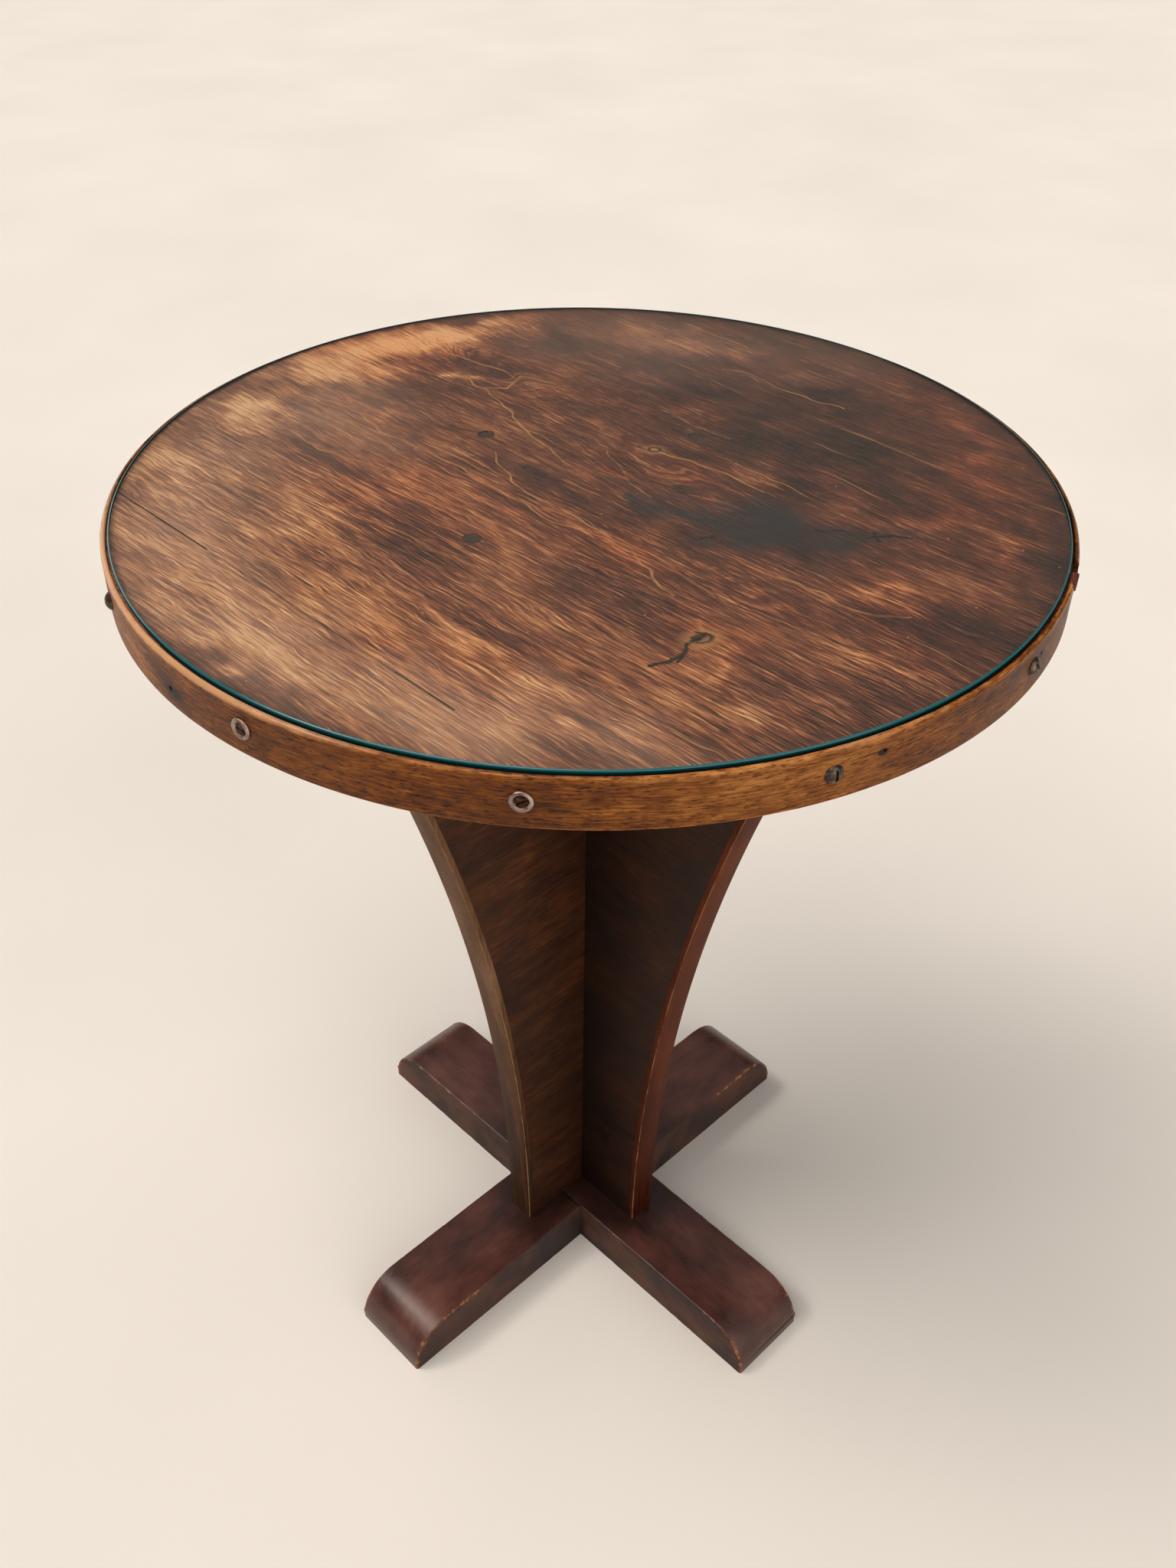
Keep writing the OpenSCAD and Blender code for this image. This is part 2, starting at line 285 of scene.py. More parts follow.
def crackLines(add, space, cracks):  # 1 on each straight crack: two ends and a width
    darkest = 0.0
    for ax, ay, bx, by, wide in cracks:
        middle, angles = ((ax + bx) / 2, (ay + by) / 2, 0), (0, 0, math.atan2(by - ay, bx - ax))
        local = add("Mapping", ownSpace, [space, middle, angles, (1, 1, deep)])
        halfLong = math.dist((ax, ay), (bx, by)) / 2
        away = add("VectorMath", "ABSOLUTE", [local])
        away = add("VectorMath", "SUBTRACT", [away, (halfLong, 0, 0)])
        away = add("VectorMath", "MAXIMUM", [away, (0, 0, 0)])
        away = add("VectorMath", "LENGTH", [away], out="Value")
        line = add("MapRange", [away, wide * 0.3, wide, 1.0, 0.0])
        darkest = add("Math", "MAXIMUM", [line, darkest])
    return darkest


def knots(add, space, colour, places):  # an amber heart inside a dark ring, with a golden halo
    for x, y, long, wide, turn in places:
        angles = (0, 0, math.radians(turn))
        local = add("Mapping", ownSpace, [space, (x, y, 0), angles, (long, wide, deep)])
        away = add("VectorMath", "LENGTH", [local], out="Value")
        halo = add("MapRange", [away, 1.0, 2.6, long / 10, 0.0])
        ring = add("Math", "ABSOLUTE", [add("Math", "SUBTRACT", [away, 0.85])])
        ring = add("MapRange", [ring, 0.1, 0.45, 0.9, 0.0])
        heart = add("MapRange", [away, 0.4, 0.75, 0.8, 0.0])
        for share, code in ((halo, "#c8884e"), (ring, "#25140d"), (heart, "#9c6446")):
            colour = add("Mix", inColour, {0: share, 6: colour, 7: code}, out=2)
    return colour


topFinish = {
    "grainTurn": 43.9,  # brings the grain, which runs from back left to front right, onto X
    "tones": [(0.0, "#200d08"), (0.2, "#441f13"), (0.38, "#673220"), (0.52, "#8a4a2d"),
              (0.68, "#b56e45"), (0.84, "#e09b68"), (1.0, "#fcc392")],
    "colours": {"gold": "#c48a52", "pores": "#dca070", "varnish": "#ffd0a6", "bloomAndReflection": "#c09482",
                "dust": "#dab290", "iron": "#262124", "crack": "#150d0a"},
    # soft patches in millimetres from the middle: x, y, length, width, turn, weight
    "worn": [(-140, 172, 74, 46, 20, 0.75), (-98, 206, 48, 26, 20, 0.5), (-50, 226, 40, 16, 10, 0.35),
             (-193, 88, 34, 24, -60, 0.5), (-124, 82, 34, 13, -40, 0.4), (-172, 132, 40, 24, 30, 0.4),
             (-228, 20, 60, 40, 80, 0.4), (-98, 0, 85, 42, -44, 0.3), (-36, -75, 46, 26, -30, 0.1),
             (-196, 70, 60, 30, -70, 0.35), (-76, 212, 50, 22, 15, 0.35),
             (-150, -160, 60, 26, -48, 0.3), (-14, -208, 50, 30, -30, 0.4),
             (-186, -110, 90, 50, -50, 0.35), (-4, -54, 62, 10, -44, 0.4), (24, 14, 26, 42, 30, 0.28),
             (76, 32, 46, 13, -40, 0.25), (186, -38, 44, 22, -10, 0.32), (203, -60, 14, 24, 0, 0.3),
             (218, 38, 18, 56, 8, 0.28), (142, -112, 32, 17, -20, 0.5), (54, -134, 11, 24, 20, 0.5),
             (50, -170, 10, 28, -5, 0.4), (92, -108, 42, 18, -38, 0.3), (150, -172, 56, 22, -36, 0.35),
             (35, 206, 58, 32, 0, 0.3), (84, 172, 60, 11, -44, 0.35), (-80, 138, 14, 8, -50, 0.6),
             (64, 76, 42, 7, -44, 0.35), (100, 8, 46, 12, -38, 0.2), (-150, -20, 80, 26, -44, 0.2),
             (-40, -160, 90, 18, -40, 0.3), (-74, 40, 60, 9, -44, 0.3), (215, 100, 16, 36, 25, 0.25),
             (60, -205, 60, 16, -20, 0.25)],
    "dark": [(84, -42, 60, 42, -25, 0.4), (-30, 12, 56, 14, -42, 0.4), (-112, 118, 38, 27, -20, 0.35),
             (-90, 164, 24, 26, 0, 0.3), (-22, 190, 50, 46, -20, 0.28), (38, 156, 50, 58, -30, 0.2),
             (100, 84, 100, 90, -40, 0.5), (158, 100, 70, 46, -40, 0.3), (120, 20, 120, 70, -40, 0.25),
             (-92, -56, 52, 22, -30, 0.4), (-119, -80, 26, 22, -40, 0.3),
             (-56, -124, 42, 18, -44, 0.35), (28, -104, 40, 22, -44, 0.3), (84, -158, 40, 30, -50, 0.2),
             (168, -136, 64, 34, -30, 0.4), (230, -76, 24, 80, -15, 0.45),
             (-150, -186, 80, 24, -38, 0.5), (120, -192, 90, 28, 30, 0.4),
             (118, -76, 58, 30, -30, 0.35), (-157, 34, 28, 18, -30, 0.3), (-184, 58, 26, 24, 0, 0.3),
             (143, 190, 70, 34, -44, 0.3), (-60, -55, 12, 12, 0, 0.2), (150, 30, 70, 40, -40, 0.25),
             (10, 60, 60, 24, -60, 0.2), (-144, -198, 62, 16, -36, 0.7), (54, -58, 44, 26, -40, 0.45),
             (30, 128, 60, 40, -44, 0.3), (180, 36, 40, 24, -44, 0.4), (170, -72, 60, 24, -20, 0.35)],
    # lighter patches: painted light, with some faded wood
    "fadedAndLit": [(-140, 174, 80, 50, 20, 0.14), (-76, 204, 70, 46, 15, 0.2), (-190, 108, 40, 60, -30, 0.1),
              (-120, 138, 50, 30, -40, 0.08), (-180, 140, 40, 50, -30, 0.1),
              (-144, -72, 50, 26, -44, 0.12), (-108, -100, 60, 26, -44, 0.08),
              (0, -142, 50, 26, -44, 0.16), (-130, -180, 60, 26, -40, 0.08),
              (-60, -214, 70, 26, -15, 0.1), (108, -172, 44, 26, -30, 0.08),
              (36, -108, 30, 24, -44, 0.06)],
    # grey haze: partly dulled varnish, partly a painted reflection of the room in the glass
    "hazeAndReflection": [(-170, 90, 110, 80, -60, 0.6), (-215, -30, 70, 150, 12, 0.8), (40, 190, 170, 70, -10, 0.4),
             (-50, -215, 120, 50, -18, 0.8), (-160, -140, 90, 50, -48, 0.8)],
    "stain": [(82, -40, 62, 44, -25, 0.9), (112, -68, 60, 34, -30, 0.5), (24, -2, 62, 20, -42, 0.75),
              (150, -50, 54, 18, -5, 0.5), (110, 70, 90, 60, -40, 0.2), (-20, 190, 60, 50, 0, 0.15),
              (-112, 118, 36, 26, 0, 0.4)],
    "amber": [(-98, -10, 110, 50, -44, 0.6), (200, -30, 60, 60, 0, 0.7), (28, 15, 50, 40, -44, 0.6),
              (0, -60, 90, 22, -44, 0.9), (150, -130, 90, 50, -38, 0.5), (52, -148, 36, 36, 0, 0.7),
              (218, 50, 40, 100, 10, 0.6), (-125, 85, 50, 20, -40, 0.5), (-120, 180, 90, 60, 20, 0.9),
              (-50, -170, 110, 40, -30, 0.3)],
    "loops": [(-70, 150, 70, 24, -44, 26.0), (0, 90, 120, 16, -50, -14.0),
              (120, 130, 120, 26, -44, 12.0), (60, -110, 100, 20, -44, 12.0),
              (30, 10, 60, 24, -60, 16.0)],
    # the two ends of each crack, and its width
    "cracks": [(45, -153, 43, -162, 1.87), (43, -162, 35, -168.5, 2.21), (35, -168.5, 27.5, -171, 1.7),
               (43, -162, 40, -168, 1.19), (53, -146, 47, -151, 2.04), (49, -143, 55, -145, 1.36),
               (115, -46.5, 122, -48, 1.36), (124, -46, 131, -47.5, 1.36), (142, -53, 153, -51, 1.7),
               (153, -51, 163, -54, 1.53), (144, -48, 146, -57, 1.19), (55, -55, 60, -58, 1.7),
               (60, -58, 63, -54, 1.36)],
    "joint": [(-249, -14.7, -190, -73.7, 0.75), (-170, -93.7, -85, -178.7, 0.35),
              (-85, -178.7, -57, -206.7, 0.7)],
    # x, y, half length, half width, turn
    "knots": [(51.8, -148.5, 5.4, 3.9, 30), (35.4, 43, 3.6, 2.8, 0)],
    # golden lines where a year ring meets the surface, each a row of points
    "goldLines": [
        [(-182, 117), (-130, 80), (-98, 46), (-66, 9), (-35, -18), (-19, -39), (18, -70), (44, -112)],
        [(-53, 40), (-45, 9), (-19, -24), (12, -58)],
        [(-98, 177), (-72, 161), (-51, 143), (-43, 130), (-48, 118), (-64, 118)],
        [(-82, 135), (-61, 114), (-45, 82), (-30, 45), (-9, 19)],
        [(10, 40), (15, 24), (20, 3), (31, -12)],
        [(31, 43), (54, 30), (81, 4), (91, -7)],
        [(81, 156), (112, 126), (144, 98)],
        [(39, 93), (60, 76), (81, 59)],
        [(-170, 60), (-140, 30), (-104, 8)],
        [(92, -94), (120, -118), (150, -128)]],
}


def stainedTopBoards():
    # softwood boards, planed, stained walnut brown and varnished; use has rubbed the stain
    # thin, so golden streaks of early wood show between dark bands, with a black iron stain
    material, add, shader, place = startMaterial("stainedTopBoards")
    grainTurn = (0, 0, math.radians(topFinish["grainTurn"]))
    turned = add("Mapping", {"Vector": place, "Rotation": grainTurn})
    # year rings: the boards are flat sawn, so the rings wander and close into long loops
    broadSway, kinks = streaks(add, turned, 190, 60, 2.0), streaks(add, turned, 34, 16, 2.0)
    sway = layered(add, -11.0, [(broadSway, 22.0), (kinks, 9.0)])
    sway = softPatches(add, place, topFinish["loops"], sway)
    rings = add("VectorMath", "ADD", [turned, add("CombineXYZ", {"Y": sway})])
    blotch = streaks(add, turned, 70, 46)
    cloud = streaks(add, turned, 30, 20)
    bands = streaks(add, rings, 260, 7)
    fibres = streaks(add, rings, 30, 0.95, 3.0, 0.6)
    hairs = streaks(add, turned, 17, 0.65, 2.0, 0.65)
    flecks = streaks(add, turned, 9, 0.6, 1.0)
    # the grain shows most at the front left, where the top has been rubbed the most
    grain = layered(add, -0.9, [(hairs, 0.95), (fibres, 0.85)])
    forward = add("VectorMath", "DOT_PRODUCT", [place, (-0.6, -0.8, 0)], out="Value")
    rubbedAndSheen = add("MapRange", eased, [forward, -140.0, 140.0, 0.7, 1.3])
    tone = layered(add, -0.17, [(blotch, 0.5), (cloud, 0.36), (bands, 0.3), (grain, rubbedAndSheen)])
    # patches of wear and stain have ragged outlines
    ragged = warped(add, place, 0.028, 5.0, 32)
    # lighter toward the front left, a painted reflection of the window, with faded patches; darker
    # toward the back right, a painted shade
    leftward = add("VectorMath", "DOT_PRODUCT", [place, (-0.85, -0.53, 0)], out="Value")
    fadedAndLit = add("MapRange", eased, [leftward, 60.0, 250.0, 0.0, 0.17])
    fadedAndLit = softPatches(add, ragged, topFinish["fadedAndLit"], fadedAndLit)
    shaded = add("MapRange", eased, [leftward, -200.0, 20.0, 0.08, 0.0])

    def alongGrain(spots, byCloud, byFibres, limits):  # the patches break up along the grain
        marks = softPatches(add, ragged, spots)
        for layer, change in ((cloud, byCloud), (fibres, byFibres)):
            marks = add("Math", "ADD", [marks, add("Math", "MULTIPLY_ADD", [layer, *change])])
        return add("MapRange", eased, [marks, *limits])

    worn = alongGrain(topFinish["worn"], (0.35, -0.17), (0.5, -0.25), (-0.05, 0.9, 0.0, 0.5))
    dark = alongGrain(topFinish["dark"], (-0.4, 0.2), (-0.3, 0.15), (-0.1, 0.75, 0.0, 0.28))
    # darker toward the rim, less on the left
    rimward = add("Math", "MULTIPLY_ADD", [blotch, 70.0, fromAxis(add, place)])
    darkerNearRim = add("MapRange", eased, [rimward, 262.0, 296.0, 0.0, 0.16])
    darkerNearRim = add("Math", "MULTIPLY", [darkerNearRim, add("MapRange", [leftward, 0.0, 150.0, 1.0, 0.25])])
    # the tone takes the painted light and faded patches, loses the painted shade, and takes the wear,
    # the dark patches and the darkening near the rim
    for how, share in (("ADD", fadedAndLit), ("SUBTRACT", shaded), ("ADD", worn), ("SUBTRACT", dark),
                       ("SUBTRACT", darkerNearRim)):
        tone = add("Math", how, [tone, share])
    # thin golden lines where a year ring meets the surface
    count = add("Math", "DIVIDE", [add("SeparateXYZ", [rings], out="Y"), 26.0])
    near = add("Math", "PINGPONG", [count, 0.5])
    golden = add("MapRange", [near, 0.0, 0.03, 1.0, 0.0])
    shown = add("MapRange", [streaks(add, rings, 50, 24, 2.0), 0.53, 0.64, 0.0, 0.5])
    golden = add("Math", "MULTIPLY", [golden, shown])
    lines = [(*a, *b, 0.85) for points in topFinish["goldLines"] for a, b in zip(points, points[1:])]
    drawn = crackLines(add, warped(add, place, 0.025, 2.0, 11), lines)
    shown = add("MapRange", [streaks(add, turned, 15, 15, 2.0), 0.36, 0.6, 0.22, 0.8])
    drawn = add("Math", "MULTIPLY", [drawn, shown])
    golden = add("Math", "MAXIMUM", [golden, drawn])
    # open pores rubbed bright: short dashes
    dashes = add("MapRange", [flecks, 0.6, 0.7, 0.0, 1.0])
    dashes = add("Math", "MULTIPLY", [dashes, add("MapRange", [tone, 0.3, 0.75, 0.08, 0.7])])

    def blotched(spots, weight, least, most):
        marks = softPatches(add, ragged, spots)
        marks = add("Math", "MULTIPLY", [marks, add("Math", "MULTIPLY_ADD", [blotch, weight, least])])
        return add("Math", "MINIMUM", [marks, most])

    # amber where the varnish is thick over light wood, and a grey haze, partly dulled varnish and
    # partly a painted reflection of the room in the glass
    amber = blotched(topFinish["amber"], 2.0, -0.2, 0.55)
    hazeAndReflection = blotched(topFinish["hazeAndReflection"], 1.2, -0.1, 0.36)
    # dust in the dents, under the glass
    specks = add("TexVoronoi", {"Vector": place, "Scale": 1 / 15})
    specks = add("MapRange", [specks, 0.02, 0.05, 0.45, 0.0])
    # blue-black stain, soft at its edges
    stain = add("Math", "MULTIPLY_ADD", [cloud, 1.5, -0.85])
    stain = softPatches(add, ragged, topFinish["stain"], stain)
    stain = add("MapRange", eased, [stain, 0.05, 0.8, 0.0, 0.92])
    colour = add("ValToRGB", {"stops": topFinish["tones"]}, [tone])
    for how, share, name in ((inColour, golden, "gold"), (inColour, dashes, "pores"),
                             (timesColour, amber, "varnish"), (inColour, hazeAndReflection, "bloomAndReflection"),
                             (inColour, specks, "dust"), (inColour, stain, "iron")):
        colour = add("Mix", how, {0: share, 6: colour, 7: topFinish["colours"][name]}, out=2)
    bent = warped(add, place, 0.35, 2.0, 1.75)
    colour = knots(add, bent, colour, topFinish["knots"])
    # cracks in the wood, and the one glue joint that shows
    cracks = crackLines(add, bent, topFinish["cracks"])
    joint = crackLines(add, place, topFinish["joint"])
    shown = add("MapRange", [streaks(add, turned, 26, 40, 2.0), 0.3, 0.46, 0.15, 1.0])
    joint = add("Math", "MULTIPLY", [joint, shown])
    black = add("Math", "MAXIMUM", [cracks, joint])
    colour = add("Mix", inColour, {0: black, 6: colour, 7: topFinish["colours"]["crack"]}, out=2)
    height = add("Math", "SUBTRACT", [hairs, black])
    finishMaterial(add, shader, colour, (fibres, 0.42, 0.58), height, 0.12)
    return material


hoopFinish = {
    "tones": [(0.0, "#1c0b02"), (0.28, "#432008"), (0.48, "#67360e"), (0.68, "#89501c"),
              (1.0, "#c38646")],
    # pale pink of the top arris: a painted highlight, partly wear
    "rubbedAndSheen": "#cf9f76",
    # direction in degrees, millimetres above the hoop's middle, length, height, weight
    "stainsLightAndShade": [(-138, -4, 26, 14, -0.35), (-140, 2, 14, 8, -0.3), (-123.5, -3, 8, 6, -0.2),
               (-93, -1, 10, 5, -0.3), (-45.2, 6, 5, 3, -0.3), (-34, -4, 14, 9, -0.25),
               # the four long, full-height ones are painted light and painted shade: lighter at the
               # front and front left, darker on the right
               (-8, 0, 12, 9, -0.3), (-150, 0, 120, 40, 0.2), (-15, 0, 110, 40, -0.3),
               (-70, 0, 110, 40, 0.3), (-112, 0, 60, 30, 0.05),
               # dirt and rust round the old nail holes
               (-137.4, -4.5, 9, 4.5, -0.7), (-60.5, 4.7, 3.2, 2.2, -1.8), (-34.1, 3.9, 3, 2.4, -1.8)],
    # where the top arris is painted pale: a painted highlight at the front left, partly wear
    "polished": [(-135, 12.9, 150, 2.6, 1.0), (-166, 12.9, 90, 2.6, 0.8), (-60, 13.2, 120, 1.6, 0.4)],
}


def onStrip(marks):  # marks round the hoop, placed on its strip as if rolled out flat
    spots = []
    for direction, up, long, high, weight in marks:
        turn = (direction - table["hoopEnds"]) % 360 - 180  # zero is opposite the end joint
        spots.append((math.radians(turn) * table["topRadius"], up, long, high, 0, weight))
    return spots


def bentHoopWood():
    # a bent strip of ash or beech, stained golden brown and varnished; its grain runs along the strip,
    # and the top edge is rubbed pale, with a painted highlight along it at the front left
    material, add, shader, place = startMaterial("bentHoopWood")
    halfHigh = table["hoopHigh"] / 2
    # turned so that the jump in the arc length falls on the hoop's own end joint
    toEnds = (0, 0, math.radians(180 - table["hoopEnds"]))
    turned = add("Mapping", {"Vector": place, "Rotation": toEnds})
    x, y, z = (add("SeparateXYZ", [turned], out=axis) for axis in "XYZ")
    length = add("Math", "MULTIPLY", [add("Math", "ARCTAN2", [y, x]), table["topRadius"]])
    level = add("Math", "SUBTRACT", [z, table["rimHeight"] - halfHigh])
    away = fromAxis(add, turned)
    strip = add("CombineXYZ", [length, level, away])
    broad = streaks(add, strip, 40, 14, 4.0, 0.6)
    mottle = streaks(add, strip, 11, 5, 4.0, 0.65)
    fibres = streaks(add, strip, 17, 1.0, 3.0, 0.65)
    pores = streaks(add, strip, 4, 0.8, 1.0)
    tone = layered(add, -0.6, [(broad, 0.6), (mottle, 0.65), (fibres, 0.95)])
    # stains, and painted light and shade round the hoop
    tone = softPatches(add, strip, onStrip(hoopFinish["stainsLightAndShade"]), tone)
    dark = add("MapRange", [pores, 0.56, 0.7, 0.0, 0.34])
    # rubbed edges: distance from the top outer arris, and from the bottom one
    ragged = add("Math", "MULTIPLY_ADD", [broad, 2.4, -1.2])
    top = add("Math", "ADD", [add("Math", "SUBTRACT", [12.4, level]), ragged])
    top = add("MapRange", [top, 0.2, 2.2, 0.14, 0.0])
    low = add("Math", "ADD", [add("Math", "ADD", [level, halfHigh]), ragged])
    low = add("MapRange", [low, 0.2, 0.9, 0.3, 0.0])
    # the inner face is painted darker: a painted shade in the gap beside the glass
    inner = table["hoopInside"]
    inside = add("MapRange", [away, inner, inner + 1.0, 0.45, 0.0])
    for how, share in (("SUBTRACT", dark), ("ADD", top), ("ADD", low), ("SUBTRACT", inside)):
        tone = add("Math", how, [tone, share])
    colour = add("ValToRGB", {"stops": hoopFinish["tones"]}, [tone])
    # the top arris is painted pale along the front left and front: a painted highlight of the window,
    # partly real wear
    rubbedAndSheen = softPatches(add, strip, onStrip(hoopFinish["polished"]))
    rubbedAndSheen = add("Math", "MULTIPLY_ADD", [mottle, 0.6, rubbedAndSheen])
    rubbedAndSheen = add("MapRange", [rubbedAndSheen, 0.5, 1.0, 0.0, 0.75])
    colour = add("Mix", inColour, {0: rubbedAndSheen, 6: colour, 7: hoopFinish["rubbedAndSheen"]}, out=2)
    # the top edge is polished by hands
    roughness = add("MapRange", [level, 11.0, 12.0, 0.42, 0.13])
    roughness = add("Math", "MULTIPLY_ADD", [mottle, 0.12, roughness])
    finishMaterial(add, shader, colour, roughness, fibres, 0.1, shine=0.22)
    return material


patchFinish = {"tones": [(0.3, "#3a150c"), (0.6, "#6b2c1b"), (0.8, "#9a5a3c")]}


def patchWood():
    # a later repair in a redder wood, sanded and shellacked
    material, add, shader, place = startMaterial("redPatchWood")
    alongRim = (0, 0, math.radians(90 - table["hoopEnds"]))
    turned = add("Mapping", {"Vector": place, "Rotation": alongRim})
    fibres = streaks(add, turned, 9, 0.9, 2.0)
    colour = add("ValToRGB", {"stops": patchFinish["tones"]}, [fibres])
    finishMaterial(add, shader, colour, (fibres, 0.35, 0.5), fibres, 0.08)
    return material


boardFinish = {
    "tones": [(0.12, "#130904"), (0.4, "#33190a"), (0.6, "#4e2b13"), (0.85, "#7a4c26")],
    # how much lighter or darker each board is painted: painted light and painted shade
    "shades": {"front_left": 0.04, "front_right": -0.08},
}


def pedestalVeneer(direction, shade):
    # veneer laid with its grain across the board, stained dark and waxed; the front-right board is
    # painted darker than the other, a painted shade, and both are painted almost black toward the
    # corner, a painted shade
    material, add, shader, place = startMaterial("darkVeneer_%d" % direction)
    turned = add("Mapping", {"Vector": place, "Rotation": (0, 0, math.radians(-direction))})
    mottle = streaks(add, turned, 46, 30, 4.0, 0.6)
    bands = streaks(add, turned, 150, 9, 2.0)
    fibres = streaks(add, turned, 26, 1.3, 3.0, 0.65)
    hairs = streaks(add, turned, 9, 0.6, 2.0, 0.6)
    tone = layered(add, shade - 0.5, [(mottle, 0.65), (bands, 0.2), (fibres, 0.6), (hairs, 0.5)])
    # the lower half is darker
    low = add("MapRange", [add("SeparateXYZ", [place], out="Z"), 60.0, 420.0, 0.08, 0.0])
    # painted shade: darker toward the inner corner, most on the darker board
    along = add("Math", "ABSOLUTE", [add("SeparateXYZ", [turned], out="X")])
    cornerShade = add("MapRange", eased, [along, 8.0, 70.0, 0.1 - shade, 0.0])
    for share in (low, cornerShade):
        tone = add("Math", "SUBTRACT", [tone, share])
    colour = add("ValToRGB", {"stops": boardFinish["tones"]}, [tone])
    finishMaterial(add, shader, colour, (fibres, 0.45, 0.6), hairs, 0.1, shine=0.2)
    return material


lippingFinish = {
    "tones": [(0.0, "#150b05"), (0.2, "#3b2413"), (0.42, "#63432b"), (0.62, "#836248"),
              (0.85, "#a98567")],
    "redderAndShaded": "#cc7c42",
    "rubbedAndSheen": "#ba8e68",
}


def lippingWood():
    # solid edging with the grain up and down, stained to match, rubbed pale on its outer face and along
    # the arrises, darker toward the feet; the two on the right are painted darker, a painted shade
    material, add, shader, place = startMaterial("edgingWood")
    upright = add("Mapping", {"Vector": place, "Rotation": (0, math.radians(90), 0)})
    bands = streaks(add, upright, 140, 16, 4.0, 0.6)
    fibres = streaks(add, upright, 34, 1.0, 3.0, 0.6)
    tone = layered(add, -0.08, [(bands, 0.7), (fibres, 0.55)])
    x, z = (add("SeparateXYZ", [place], out=axis) for axis in "XZ")
    right = add("MapRange", [x, -20.0, 20.0, 0.0, 0.9])
    low = add("MapRange", eased, [z, 30.0, 360.0, 0.42, 0.0])
    low = add("Math", "MULTIPLY", [low, add("Math", "MULTIPLY_ADD", [right, -0.5, 1.0])])
    tone = add("Math", "SUBTRACT", [tone, low])
    colour = add("ValToRGB", {"stops": lippingFinish["tones"]}, [tone])
    # the two edgings on the right are painted redder and darker: a painted shade
    colour = add("Mix", timesColour, {0: right, 6: colour, 7: lippingFinish["redderAndShaded"]}, out=2)
    # an arris faces between the two diagonals that the boards stand on; it is rubbed pale
    facing = add("TexCoord", out="Normal")
    sideways = []
    for way in (1, -1):
        diagonal = (math.sqrt(0.5), way * math.sqrt(0.5), 0)
        across = add("VectorMath", "DOT_PRODUCT", [facing, diagonal], out="Value")
        sideways.append(add("Math", "ABSOLUTE", [across]))
    arris = add("MapRange", [add("Math", "MINIMUM", sideways), 0.3, 0.55, 0.0, 0.65])
    knocks = add("MapRange", [streaks(add, place, 26, 26, 4.0, 0.7), 0.4, 0.58, 0.1, 1.0])
    arris = add("Math", "MULTIPLY", [arris, knocks])
    colour = add("Mix", inColour, {0: arris, 6: colour, 7: lippingFinish["rubbedAndSheen"]}, out=2)
    finishMaterial(add, shader, colour, (fibres, 0.5, 0.65), fibres, 0.08, shine=0.12)
    return material


foot = {
    "span": 382.0,
    "width": 60.0,
    "lip": 4.0,  # the rounding of a tip ends this far above the floor
    "ease": 1.5,
    "lapGap": 0.1,
    # how deep the knocks go, how far they reach from an arris, and their size
    "dentDepth": 0.35, "dentReach": 4.0, "dentSize": 5.0,
    "tones": [(0.05, "#140a07"), (0.3, "#321c18"), (0.5, "#512f28"), (0.7, "#6a443a"),
              (0.95, "#8c6455")],
    "bareTones": [(0.35, "#4e2814"), (0.5, "#824a25"), (0.65, "#b07a49")],
    "scuffed": "#6e472c",
}


